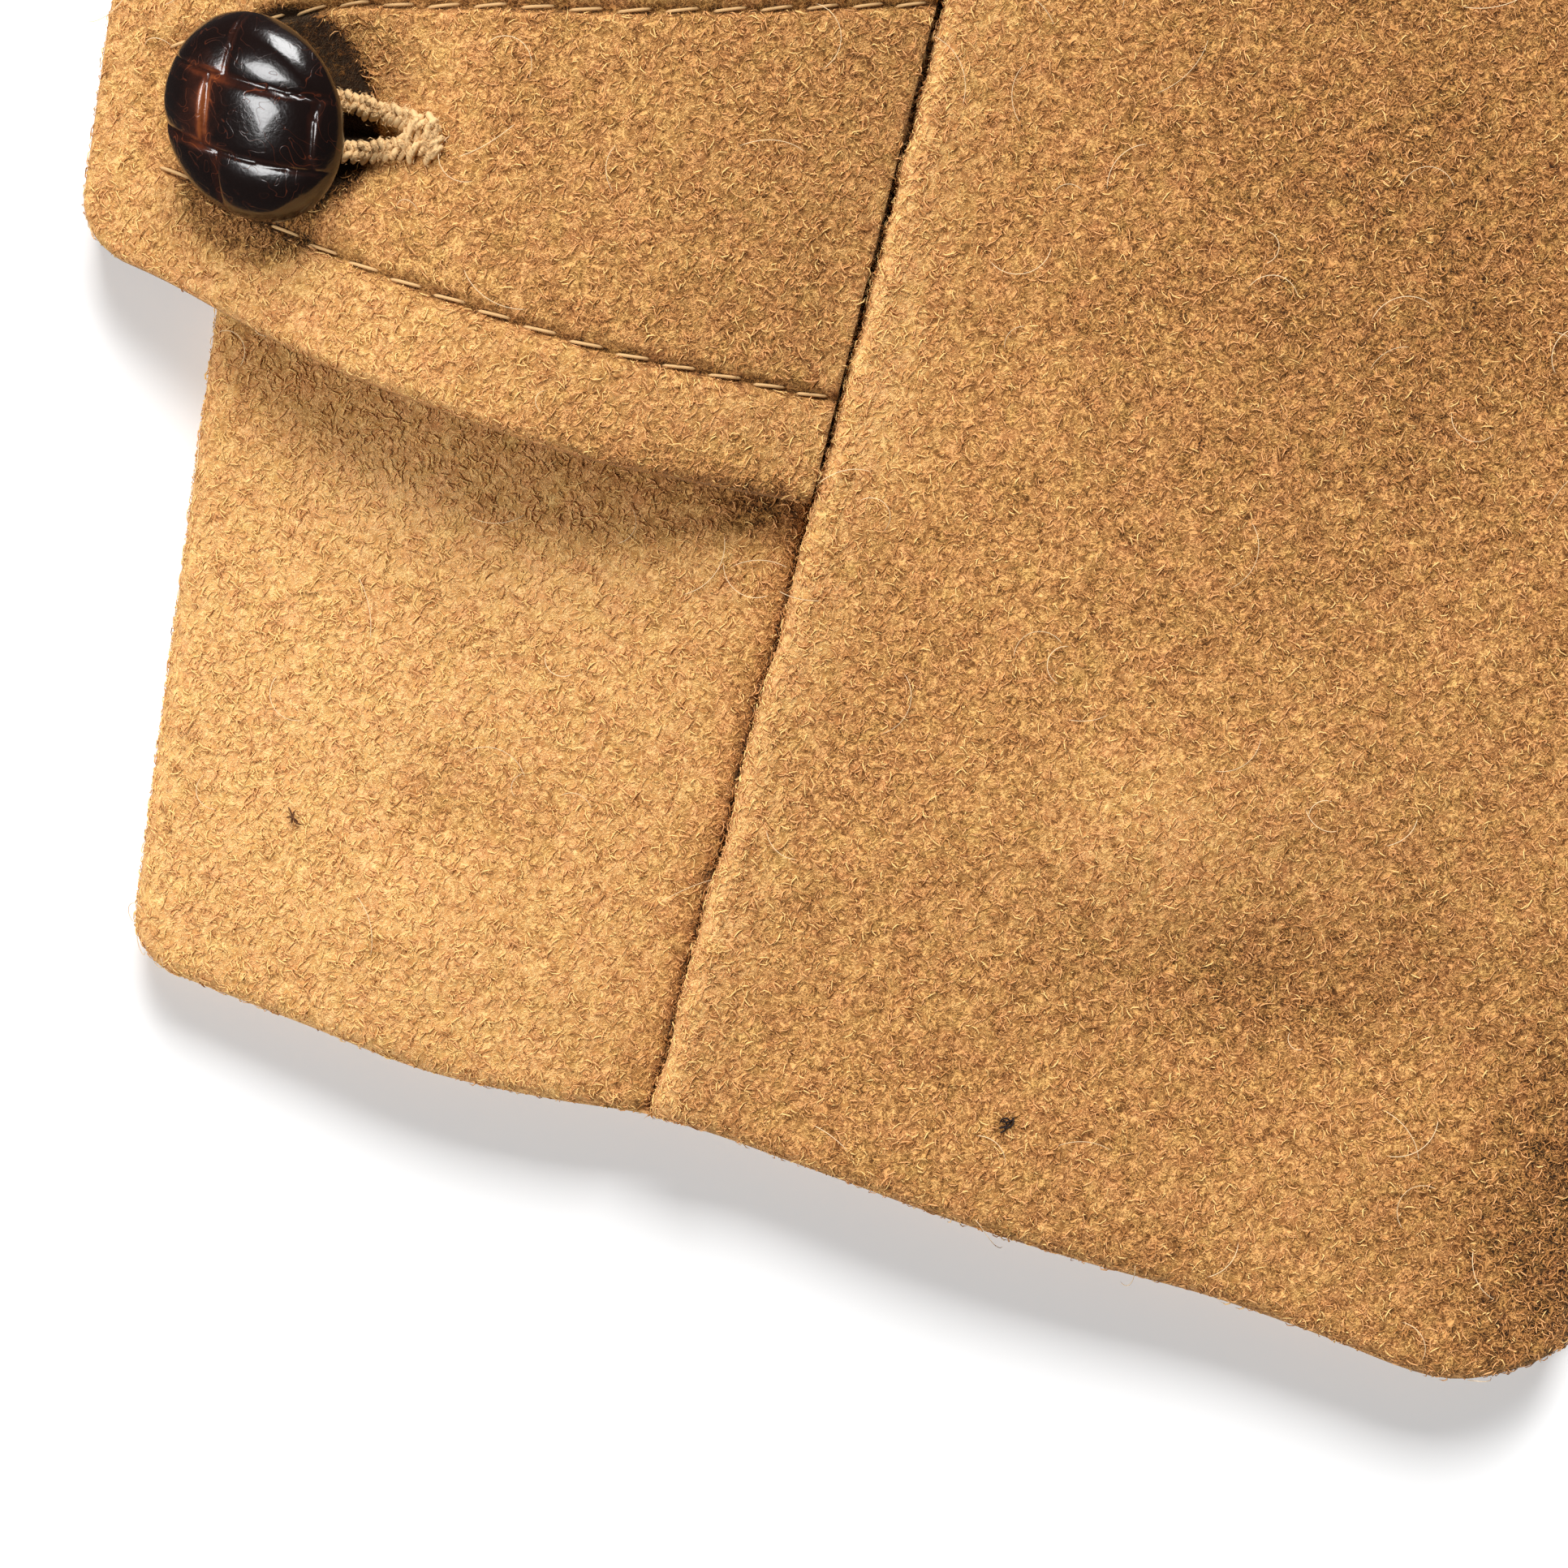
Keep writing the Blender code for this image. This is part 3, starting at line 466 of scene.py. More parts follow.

# Nap of the right cuff: tints with their shares on the sleeve front, sleeve back and tab, which paint light
# and shade by piece as the tones do, and their liking for painted shade and soil, and the number, length,
# turn, rise and stops of its two kinds of fibre
NAP_FADE = 0.016
NAP_SEED = 7
NAP_STEEPEST = -0.35
NAP_RADIUS = (0.000045, 0.000082)
NAP_TINTS = (
    ("straw", (0.920, 0.590, 0.226), (0.6, 1.4, 0.8), -0.9),
    ("gold", (0.800, 0.418, 0.168), (1.0, 1.0, 1.0), 0.0),
    ("umber", (0.512, 0.235, 0.074), (1.4, 0.6, 1.2), 0.9),
)
NAP_KINDS = (
    ("curl", 7000, (0.0010, 0.0021), (0.6, 2.8), (0.00006, 0.00026), 4),
    ("short", 17000, (0.0005, 0.0011), (0.4, 1.6), (0.00004, 0.00018), 3),
)

# Form of every fibre: the way it is set out from its normal, the shape of its rise, and its sides
NEARLY_UP = (0.02, 0.01, 1.0)
FIBRE_AXIS = (0.31, 0.87, 0.38)
FIBRE_ARCH = 1.25
FIBRE_SKEW = 0.8
FIBRE_SINK = 0.25
FIBRE_END = 0.45
FIBRE_SIDES = 3
LINT_SIDES = 4

# Fuzz of the buttonhole, long stray hairs and lint: length, turn, rise and stops, with number and radius
FUZZ_KIND = ((0.0004, 0.0011), (0.6, 2.6), (0.00005, 0.00025), 3)
FUZZ_COUNT = 1500
FUZZ_RADIUS = 0.00005
FUZZ_SPREAD = 0.0002
FUZZ_LEAN = 0.6
STRAY_KIND = ((0.003, 0.0085), (0.5, 3.2), (0.0003, 0.0008), 12)
STRAY_COUNT = 110
STRAY_RADIUS = 0.000042
LINT_KIND = ((0.0012, 0.0026), (1.0, 4.0), (0.0002, 0.0005), 8)


def column(table, names, name):
    """One named column of a table as an array."""
    return np.array([line[names.index(name)] for line in table], dtype=float)


def ease(stations, values, at):
    """Smooth curve through table values: a cubic between neighbouring stations with centred slopes."""
    slopes = np.gradient(values, stations)
    at = np.clip(at, stations[0], stations[-1])
    left = np.clip(np.searchsorted(stations, at, side="right") - 1, 0, len(stations) - 2)
    span = stations[left + 1] - stations[left]
    t = (at - stations[left]) / span
    rise = 3.0 * t ** 2 - 2.0 * t ** 3
    level = (1.0 - rise) * values[left] + rise * values[left + 1]
    bend = (t ** 3 - 2.0 * t ** 2 + t) * slopes[left] + (t ** 3 - t ** 2) * slopes[left + 1]
    return level + span * bend


def smooth(t):
    """Smooth step: rises from 0 to 1 as t goes from 0 to 1, level at both ends."""
    t = np.clip(t, 0.0, 1.0)
    return t * t * (3.0 - 2.0 * t)


def unit(vectors):
    """Vectors scaled to length one."""
    return vectors / np.maximum(np.linalg.norm(vectors, axis=-1, keepdims=True), 1e-12)


def arc(length, start, end, step):
    """Run, rise and tangent angle after a step along an arc whose tangent turns evenly from start to end."""
    bend = (end - start) / length
    turned = start + bend * step
    straight = np.abs(bend) < 1e-6
    safe = np.where(straight, 1.0, bend)
    run = np.where(straight, step * np.cos(start), (np.sin(turned) - np.sin(start)) / safe)
    rise = np.where(straight, step * np.sin(start), (np.cos(start) - np.cos(turned)) / safe)
    return run, rise, turned


def chain(arcs, distance, rise):
    """Section of cloth: run, height and tangent angle at distances along arcs laid end to end, row by row."""
    run = np.zeros_like(distance)
    height = rise + run
    angle = arcs[0][1] + run
    left = distance
    for length, start, end in arcs:
        across, up, turned = arc(length, start, end, np.clip(left, 0.0, length))
        angle = np.where(left > 0.0, turned, angle)
        run = run + across
        height = height + up
        left = left - length
    return run, height, angle


def chain_run(arcs):
    """Level distance that arcs laid end to end cover."""
    return sum(arc(length, start, end, length)[0] for length, start, end in arcs)


def spread(bounds, steps):
    """Distances on every row: they run evenly from each bound to the next, in a number of steps for each."""
    parts = [bounds[0]]
    for start, end, count in zip(bounds, bounds[1:], steps):
        parts.append(start + (end - start) * np.arange(1, count + 1) / count)
    return np.concatenate(parts, axis=1)


def beside(x, y, line):
    """Share of the way along a line in plan, and distance to its left."""
    x0, y0, x1, y1 = line
    run_x, run_y = x1 - x0, y1 - y0
    long = math.hypot(run_x, run_y)
    along = ((x - x0) * run_x + (y - y0) * run_y) / long ** 2
    return along, ((y - y0) * run_x - (x - x0) * run_y) / long


def lift(x, y):
    """Soft folds that raise both layers: a raised cosine across each fold line, fading along it."""
    raised = np.zeros_like(x)
    for *line, height, reach in FOLD_TABLE:
        along, off = beside(x, y, line)
        fade = 0.5 + 0.5 * np.cos(np.pi * np.clip(along, 0.0, 1.0))
        bell = 0.5 + 0.5 * np.cos(np.pi * np.clip(np.abs(off) / reach, 0.0, 1.0))
        raised = raised + height * fade * bell
    return raised


def picture_place(plan):
    """Distances to the right and up, as the picture shows the right cuff, of points in plan."""
    away = plan - CUFF_CORNER
    return away @ PICTURE_RIGHT, away @ PICTURE_UP


def off_picture(plan):
    """Distance of points in plan outside the picture's border, less than nothing inside it."""
    across, up = picture_place(plan)
    off = np.maximum(np.abs(across - PICTURE_MIDDLE[0]), np.abs(up - PICTURE_MIDDLE[1]))
    return off - 0.5 * PICTURE_WIDTH


def swells(plan):
    """Low swells and hollows of the cuff: a sum of long bells, each turned its own way."""
    across, up = picture_place(plan)
    total = np.zeros_like(across)
    for at_across, at_up, turn, long, wide, height in SWELL_TABLE:
        c, s = math.cos(math.radians(turn)), math.sin(math.radians(turn))
        a = ((across - at_across) * c + (up - at_up) * s) / long
        b = ((up - at_up) * c - (across - at_across) * s) / wide
        total = total + height * np.exp(-a * a - b * b)
    return total


def creases(plan):
    """Shallow creases of the upper layers: a bell across each line, fading at both its ends."""
    x, y = np.abs(plan[..., 0] - CREASE_SHIFT), plan[..., 1] - NECK_Y
    total = np.zeros_like(x)
    for *line, height, wide in CREASE_TABLE:
        along, off = beside(x, y, line)
        fade = smooth(2.0 * (1.0 - np.abs(2.0 * along - 1.0)))
        total = total + height * fade * np.exp(-(off / wide) ** 2)
    return total


def shading_and_smudges(plan):
    """Strength of the painted shade and light, and of a soiled patch, on the right cuff: a sum of level
    bells.
    """
    across, up = picture_place(plan)
    bells = (strength * np.exp(-((across - at_across) / long) ** 2 - ((up - at_up) / wide) ** 2)
             for at_across, at_up, long, wide, strength in SHADING_AND_SMUDGE_TABLE)
    return sum(bells)


def set_up(start, end, section, out, side=1.0):
    """Points of rows: each section stands on the plan line from start to end, moved out by its normal."""
    heading = unit(end - start)
    run, height, angle = section
    across = run - side * np.sin(angle) * out
    up = height + side * np.cos(angle) * out
    plan = start[:, None, :] + heading[:, None, :] * across[..., None]
    return np.concatenate((plan, up[..., None]), axis=2)


def swollen(start, end, t, swell=0.0):
    """Points on the line between two plan points, bowed to its left by the swell at the middle."""
    t = np.asarray(t)[:, None]
    run = end - start
    left = unit(np.array((-run[1], run[0])))
    return start + run * t + left * swell * 4.0 * t * (1.0 - t)


def shoulder(t):
    """Outer edge from the upper arm to the side neck: a curve drawn towards one pull point."""
    t = np.asarray(t)[:, None]
    return (1.0 - t) ** 2 * UPPER_ARM + 2.0 * t * (1.0 - t) * SHOULDER_PULL + t ** 2 * SIDE_NECK


def edge_turn(distance):
    """Turn of a free fold: nothing at the underarm, a quarter turn a little further off."""
    return 0.5 * math.pi * smooth(distance / EDGE_FADE)


def edge_run(turn):
    """Cloth that a fold's turn takes up, short enough that the walls of a half-turned fold stay clear."""
    safe = np.maximum(turn, 1e-3)
    room = SIDE_RADIUS - CLOTH * np.cos(safe)
    return np.where(turn < 1e-3, EDGE_RUN, np.minimum(EDGE_RUN, room * safe / (1.0 - np.cos(safe))))


def rounded(distance, radius):
    """Drop of a rounded edge: a quarter circle over the last radius of cloth before the edge."""
    into = np.clip(1.0 - distance / radius, 0.0, 1.0)
    return radius * (1.0 - np.sqrt(1.0 - into ** 2))


def waver(distance, seed):
    """Slight waver along a seam, mostly between -1 and 1: sine waves of seeded lengths and starts."""
    draw = np.random.default_rng(seed)
    lengths = draw.uniform(*WAVER_LENGTHS, WAVER_WAVES)
    starts = draw.uniform(0.0, 2.0 * np.pi, WAVER_WAVES)
    waves = (np.sin(2.0 * np.pi * distance / long + start) for long, start in zip(lengths, starts))
    return sum(waves) / WAVER_SCALE


def body_rows(side_steps, raglan_steps, top):
    """Side points from the hem up to the neck, the fold's turn, and the share of the way up each stretch."""
    t = 1.0 - (1.0 - np.arange(side_steps) / side_steps) ** ROW_CROWDING
    foot = np.array((HEM_HALF, -BODY_LENGTH))
    k = np.arange(raglan_steps + 1) / raglan_steps
    points = np.concatenate((swollen(foot, UNDERARM, t), swollen(UNDERARM, top, k, RAGLAN_SWELL)))
    turn = np.concatenate((edge_turn((1.0 - t) * np.linalg.norm(UNDERARM - foot)), 0.0 * k))[:, None]
    up_side = np.concatenate((t, np.ones_like(k)))[:, None]
    up_raglan = np.concatenate((0.0 * t, k))[:, None]
    return points, turn, up_side, up_raglan


def front_panel(laps_over):
    """A front: sections from the side or raglan seam to the centre edge, the top cut to the neck's oval."""
    start, turn, up_side, up_raglan = body_rows(*FRONT_ROWS, FRONT_RAGLAN_TOP)
    centre = -BODY_LENGTH + (CENTRE_AT_UNDERARM + BODY_LENGTH) * up_side
    centre = centre + (CENTRE_AT_NECK - CENTRE_AT_UNDERARM) * up_raglan
    end = np.concatenate((np.full_like(centre, -WRAP), centre), axis=1)
    width = np.linalg.norm(end - start, axis=1, keepdims=True)
    none = 0.0 * turn
    steep = none + (2.0 * math.asin(0.5 * LAP_LIFT / LAP_RAMP) if laps_over else 0.0)
    edge = (edge_run(turn), turn, none)
    ramp = [(LAP_RAMP + none, none, steep), (LAP_RAMP + none, steep, none)]
    tail = (2.0 * WRAP + LAP_CLEAR - 2.0 * LAP_RAMP + none, none, none)
    flat = (width - chain_run([edge, *ramp, tail]), none, none)
    arcs = [edge, flat, *ramp, tail]
    ends = np.cumsum([part[0] for part in arcs], axis=0)
    distance = spread((none, ends[0], ends[1], ends[3], ends[4]), FRONT_STEPS)
    drop = arc(edge[0], turn, none, edge[0])[1]
    section = chain(arcs, distance, STACK - drop)
    from_hem = BODY_LENGTH + centre + 0.0 * distance
    soften = rounded(ends[4] - distance, HEM_ROUND) + rounded(from_hem, HEM_ROUND)
    grids = [set_up(start, end, section, out) for out in (-soften, -CLOTH + FRONT_INNER * soften)]
    for points in grids:
        share = np.clip((points[..., 0] + WRAP) / (FRONT_RAGLAN_TOP[0] + WRAP), 0.0, 1.0)
        chord = CENTRE_AT_NECK + (FRONT_RAGLAN_TOP[1] - CENTRE_AT_NECK) * share
        oval = np.sqrt(np.clip(1.0 - (points[..., 0] / (NECK_HALF_WIDTH + NECK_EASE)) ** 2, 0.0, 1.0))
        neck = NECK_CENTRE_Y - (NECK_FRONT + NECK_EASE) * oval
        points[..., 1] += np.minimum(neck - chord, 0.0) * up_raglan ** 2
    return grids


def back_panel():
    """The back: sections from side to side on the ground, both side folds turned up."""
    end, turn = body_rows(*BACK_ROWS, BACK_RAGLAN_TOP)[:2]
    start = end * MIRROR
    none = 0.0 * turn
    edge = (edge_run(turn), -turn, none)
    flat = (np.linalg.norm(end - start, axis=1, keepdims=True) - 2.0 * chain_run([edge]), none, none)
    arcs = [edge, flat, (edge[0], none, turn)]
    ends = np.cumsum([part[0] for part in arcs], axis=0)
    distance = spread((none, *ends), BACK_STEPS)
    drop = -arc(edge[0], -turn, none, edge[0])[1]
    section = chain(arcs, distance, drop)
    return [set_up(start, end, section, out, -1.0) for out in (0.0, -CLOTH)]


def sleeve_stations(cuff_rows, arm_rows, raglan_rows):
    """Rows of a sleeve from the cuff to the neck: plan points, place and turn of the inner fold."""
    place = np.concatenate((CUFF_SHARE * (np.arange(cuff_rows) / cuff_rows) ** CUFF_CROWDING,
                            CUFF_SHARE + (1.0 - CUFF_SHARE) * np.arange(arm_rows) / arm_rows))
    k = np.arange(raglan_rows + 1) / raglan_rows
    gap = SEAM * unit(UPPER_ARM - UNDERARM)
    start = np.concatenate((swollen(CUFF_OUTER, UPPER_ARM, place), shoulder(k)))
    arm_end = swollen(CUFF_INNER, UNDERARM, place, ELBOW_IN)
    front_end = np.concatenate((arm_end, swollen(UNDERARM, FRONT_RAGLAN_TOP, k, RAGLAN_SWELL))) + gap
    back_end = np.concatenate((arm_end, swollen(UNDERARM, BACK_RAGLAN_TOP, k, RAGLAN_SWELL))) + gap
    arm_turn = edge_turn((1.0 - place) * np.linalg.norm(CUFF_INNER - UNDERARM))
    turn = np.concatenate((arm_turn, 0.0 * k))[:, None]
    return start, front_end, back_end, np.concatenate((place, 1.0 + k))[:, None], turn


def sleeve_section(width, tilt, turn):
    """Upper chain of a sleeve: outer fold, crown, level run and inner fold; and the outer fold's radius."""
    none = 0.0 * tilt
    crown = (CROWN_RUN + none, tilt, none)
    radius = (STACK - arc(*crown, CROWN_RUN)[1]) / (1.0 + np.cos(tilt))
    fold = (radius * (0.5 * math.pi - tilt), 0.5 * math.pi + none, tilt)
    edge = (edge_run(turn), none, -turn)
    flat = (width - chain_run([fold, crown, edge]), none, none)
    return [fold, crown, flat, edge], radius


def slacken_hem(points, start, end, place):
    """Moves the cuff's rows up the sleeve where the hem is slack and where its corners round off."""
    width = np.linalg.norm(end - start, axis=1, keepdims=True)
    across = ((points[..., :2] - start[:, None]) * unit(end - start)[:, None]).sum(axis=2)
    inner = np.clip((across - (width - HEM_CORNER_INNER)) / HEM_CORNER_INNER, 0.0, 1.0)
    outer = np.clip((HEM_CORNER_OUTER - across) / HEM_CORNER_OUTER, 0.0, 1.0)
    rise = HEM_RISE_INNER * inner ** 2 + HEM_RISE_OUTER * outer ** 2
    rise = rise + ease(*(column(HEM_TABLE, HEM_COLUMNS, name) for name in HEM_COLUMNS), across)
    fade = np.exp(-np.minimum(place, 1.0) * ARM_LENGTH / HEM_FADE)
    points[..., :2] += (rise * fade)[..., None] * unit(UPPER_ARM - CUFF_OUTER)


def sleeve_walls(fine):
    """The walls of a sleeve as outer and inner grids, their seam's painted shading, and the back's upper
    columns.
    """
    rows = FINE_SLEEVE_ROWS if fine else PLAIN_SLEEVE_ROWS
    finer = 2 if fine else 1
    start, front_end, back_end, place, turn = sleeve_stations(*rows)
    stations, *sizes = (column(SLEEVE_TABLE, SLEEVE_COLUMNS, name) for name in SLEEVE_COLUMNS)
    seam, tilt, ridge = (ease(stations, size, place) for size in sizes)
    tilt = np.radians(np.maximum(0.0, tilt))
    width = np.linalg.norm(front_end - start, axis=1, keepdims=True)
    arcs, radius = sleeve_section(width, tilt, turn)
    ends = np.cumsum([part[0] for part in arcs], axis=0)
    hem = rounded(place * ARM_LENGTH, HEM_ROUND)
    inner = -CLOTH + SLEEVE_INNER * hem
    zone = np.minimum(SEAM_ZONE, 0.5 * (seam - ends[0]))
    wobble = SEAM_WOBBLE * waver(place * ARM_LENGTH, SEAM_SEED)

    first = seam + SEAM_TOUCH + wobble
    bounds = (first, first + SEAM_NEAR * SEAM_ZONE, seam + SEAM_ZONE, ends[2], ends[3])
    distance = spread(bounds, [finer * steps for steps in SLEEVE_FRONT_STEPS])
    from_seam = distance - first
    raised = ridge * np.clip(1.0 - from_seam / SEAM_ZONE, 0.0, 1.0) ** 2 - rounded(from_seam, SEAM_ROLL)
    section = chain(arcs, distance, radius)
    front = [set_up(start, front_end, section, out) for out in (raised - hem, inner)]

    last = seam - SEAM_TOUCH + wobble
    none = 0.0 * seam
    bounds = (last, last - SEAM_NEAR * zone, seam - zone, ends[0], none)
    upper = spread(bounds, [finer * steps for steps in SLEEVE_BACK_STEPS])
    to_seam = last - upper
    dip = -SEAM_DIP * np.clip(1.0 - to_seam / zone, 0.0, 1.0) ** 2 - rounded(to_seam, SEAM_TUCK)
    top = chain(arcs, upper, radius)
    width = np.linalg.norm(back_end - start, axis=1, keepdims=True)
    under = [(0.5 * math.pi * radius, none - 0.5 * math.pi, none), (edge_run(turn), none, turn)]
    under.insert(1, (width - chain_run(under), none, none))
    low = spread((none, *np.cumsum([part[0] for part in under], axis=0)), SLEEVE_UNDER_STEPS)[:, 1:]
    below = chain(under, low, radius)
    back = []
    for top_out, low_out in ((dip - hem, -hem), (inner, inner)):
        low_out = low_out + 0.0 * low
        back.append(np.concatenate((set_up(start, front_end, top, top_out),
                                    set_up(start, back_end, below, low_out, -1.0)), axis=1))
    for points in front + back:
        slacken_hem(points, start, front_end, place)
    # painted shade along the seam's line, painted light on the front's rolled rim and painted shade on the
    # back beside it
    shading_and_soil = [line * np.exp(-(off / SEAM_LINE) ** 2) + strength * np.exp(-off / reach)
            for off, (line, strength, reach) in zip((from_seam, to_seam), SEAM_SHADING)]
    shading_and_soil[1] = np.concatenate((shading_and_soil[1], 0.0 * low), axis=1)
    return front, back, shading_and_soil, upper.shape[1]


def tab_place(seam_line):
    """Where a tab is sewn in: root on the overarm seam, headings along and across the tab, and its skew."""
    run = np.concatenate(([0.0], np.cumsum(np.linalg.norm(np.diff(seam_line, axis=0), axis=1))))
    root, ahead = (np.array([np.interp(at, run, seam_line[:, k]) for k in (0, 1)])
                   for at in (TAB_RISE, TAB_RISE + SEAM_ZONE))
    along_seam = unit(ahead - root)
    angle = math.atan2(along_seam[1], along_seam[0]) - TAB_TURN
    heading = np.array((math.cos(angle), math.sin(angle)))
    across = np.array((-heading[1], heading[0]))
    return root, heading, across, along_seam.dot(heading) / along_seam.dot(across)


def tab_sizes(along):
    """Half width, height of the upper face and thickness of the tab at distances from its seam."""
    stations, *sizes = (column(TAB_TABLE, TAB_COLUMNS, name) for name in TAB_COLUMNS)
    return [ease(stations, size, along) for size in sizes]


def stitch_inset(along, aside):
    """How far in from the tab's edge its stitching runs: even on the lower side, eased on the upper one."""
    table = (column(UPPER_STITCH_TABLE, UPPER_STITCH_COLUMNS, name) for name in UPPER_STITCH_COLUMNS)
    return np.where(aside > 0.0, ease(*table, along), STITCH_INSET)


def off_stitching(along, aside):
    """Distance of points of the tab's face from its stitching line, positive towards its middle."""
    side = tab_sizes(along)[0] - np.abs(aside) - stitch_inset(along, aside)
    return np.minimum(side, TAB_LENGTH - STITCH_END_INSET - along)


def in_slit(along, aside):
    """One in the middle of the buttonhole's slit, which widens to its eyelet, and nothing beside it."""
    into = along - HOLE_START
    ends = smooth(into / SLIT_END) * smooth((HOLE_LENGTH - into) / SLIT_END)
    wide = SLIT_WIDTHS[0] + SLIT_WIDTHS[1] * smooth(into / HOLE_LENGTH)
    return ends * np.exp(-((aside - HOLE_ASIDE) / wide) ** 2)


def long_side(along):
    """One along the tab's long sides, falling to nothing where their stitching ends."""
    return smooth((TAB_LENGTH - STITCH_END_INSET - along) / LONG_SIDE_FADE)


def tab_relief(along, aside):
    """Fine form of the tab's face: puffed rim, stitched groove, dimple at the button, buttonhole's slit."""
    off = off_stitching(along, aside)
    puff = RIM_PUFF * smooth(-off / PUFF_REACH)
    groove = STITCH_GROOVE * (GROOVE_AT_END + (1.0 - GROOVE_AT_END) * long_side(along))
    groove = groove * np.exp(-(off / GROOVE_WIDTH) ** 2)
    dimple = DIMPLE * np.exp(-((along - BUTTON_ALONG) ** 2 + aside ** 2) / DIMPLE_REACH ** 2)
    return puff - groove - dimple - HOLE_SLIT * in_slit(along, aside)


def button_shadow(along, aside, to_seam, up):
    """One on an oval like the cuff button's, set off from its foot, falling to nothing at its edge: where a
    shadow of the button is painted.
    """
    ahead, over = BUTTON_ALONG - to_seam - along, aside - up
    c, s = BUTTON_SHADOW_TURN
    off = np.hypot((c * ahead + s * over) / BUTTON_SHADOW_HALF[0], (c * over - s * ahead) / BUTTON_SHADOW_HALF[1])
    return 1.0 - smooth((off - BUTTON_SHADOW_EDGE) / BUTTON_SHADOW_FADE)


def tab_shading(along, aside):
    """Painted shade and light of the tab: shaded stitching lines and slit, the button's painted shadows, lit
    rim and free end.
    """
    off = off_stitching(along, aside)
    line = LINE_SHADE[0] * long_side(along) * np.exp(-(off / LINE_SHADE[1]) ** 2)
    slit = SLIT_SHADE[0] * in_slit(along, aside) * smooth((along - HOLE_START - SLIT_SHADE[1]) / SLIT_SHADE[2])
    button_shadows = sum(strength * button_shadow(along, aside, *shift) for strength, *shift in BUTTON_SHADOW_TABLE)
    rim = RIM_LIGHT[0] * smooth(-off / RIM_LIGHT[1])
    end = END_LIGHT[0] * smooth((along - END_LIGHT[1]) / END_LIGHT[2])
    return line + slit + button_shadows - (rim + end)


def tab_point(place, along, aside):
    """Point on the tab's upper face at a distance along it and to its side."""
    root, heading, across, skew = place
    towards_seam = np.clip(1.0 - along / TAB_LENGTH, 0.0, 1.0) ** (2.0 / TAB_CROWDING)
    reach = along + 2.0 * SEAM + skew * aside * towards_seam
    plan = root + reach[..., None] * heading + aside[..., None] * across
    height = tab_sizes(along)[1] + tab_relief(along, aside)
    return np.concatenate((plan, height[..., None]), axis=-1)


def cuff_tab(place, fine):
    """The tab: rows across it from the seam to its rounded end, with columns that keep to the stitching."""
    rows, rim, inside, stitched, middle = FINE_TAB_STEPS if fine else PLAIN_TAB_STEPS
    turn = TAB_LENGTH - STITCH_END_INSET
    along = np.concatenate((np.linspace(0.0, turn - STITCH_ZONE, rows, endpoint=False),
                            np.linspace(turn - STITCH_ZONE, turn + STITCH_ZONE, rows // TAB_TURN_ROWS,
                                        endpoint=False),
                            np.linspace(turn + STITCH_ZONE, TAB_LENGTH, rows // TAB_END_ROWS)))[:, None]
    half, top, thick = tab_sizes(along)
    from_end = np.clip(TAB_LENGTH - along, 0.0, TAB_CORNER)
    half = half - (TAB_CORNER - np.sqrt(np.maximum(TAB_CORNER ** 2 - (TAB_CORNER - from_end) ** 2, 0.0)))
    lines = [half - np.minimum(stitch_inset(along, side), STITCH_MOST * half) for side in (-1.0, 1.0)]
    (low_near, low_far), (near, far) = ((line - np.minimum(STITCH_ZONE, 0.5 * line), line + STITCH_ZONE)
                                        for line in lines)
    edge = half - TAB_EDGE_ZONE
    aside = spread((-half, -edge, -low_far, -low_near, near, far, edge, half),
                   (rim, inside, stitched, middle, stitched, inside, rim))
    along = along + 0.0 * aside
    upper = tab_point(place, along, aside)
    lower = upper.copy()
    drop = rounded(np.minimum(half - np.abs(aside), (TAB_LENGTH - along) * TAB_END_RATE), TAB_EDGE_ROUND)
    upper[..., 2] -= drop
    lower[..., 2] = top - thick + TAB_INNER * drop
    return [upper, lower], along, aside


def tab_nap(along, aside):
    """One where the tab has its nap, nothing on its stitching lines, its buttonhole and where the button's
    shadow is painted.
    """
    on_line = np.abs(off_stitching(along, aside)) < BARE_LINE
    on_line = on_line & (along < TAB_LENGTH - BARE_END * STITCH_END_INSET)
    into = along - HOLE_START
    on_hole = (into > BARE_BACK) & (into < HOLE_LENGTH) & (np.abs(aside - HOLE_ASIDE) < BARE_ASIDE)
    return (1.0 - (on_line | on_hole)) * (1.0 - button_shadow(along, aside, *BUTTON_SHADOW_TABLE[0][1:]))


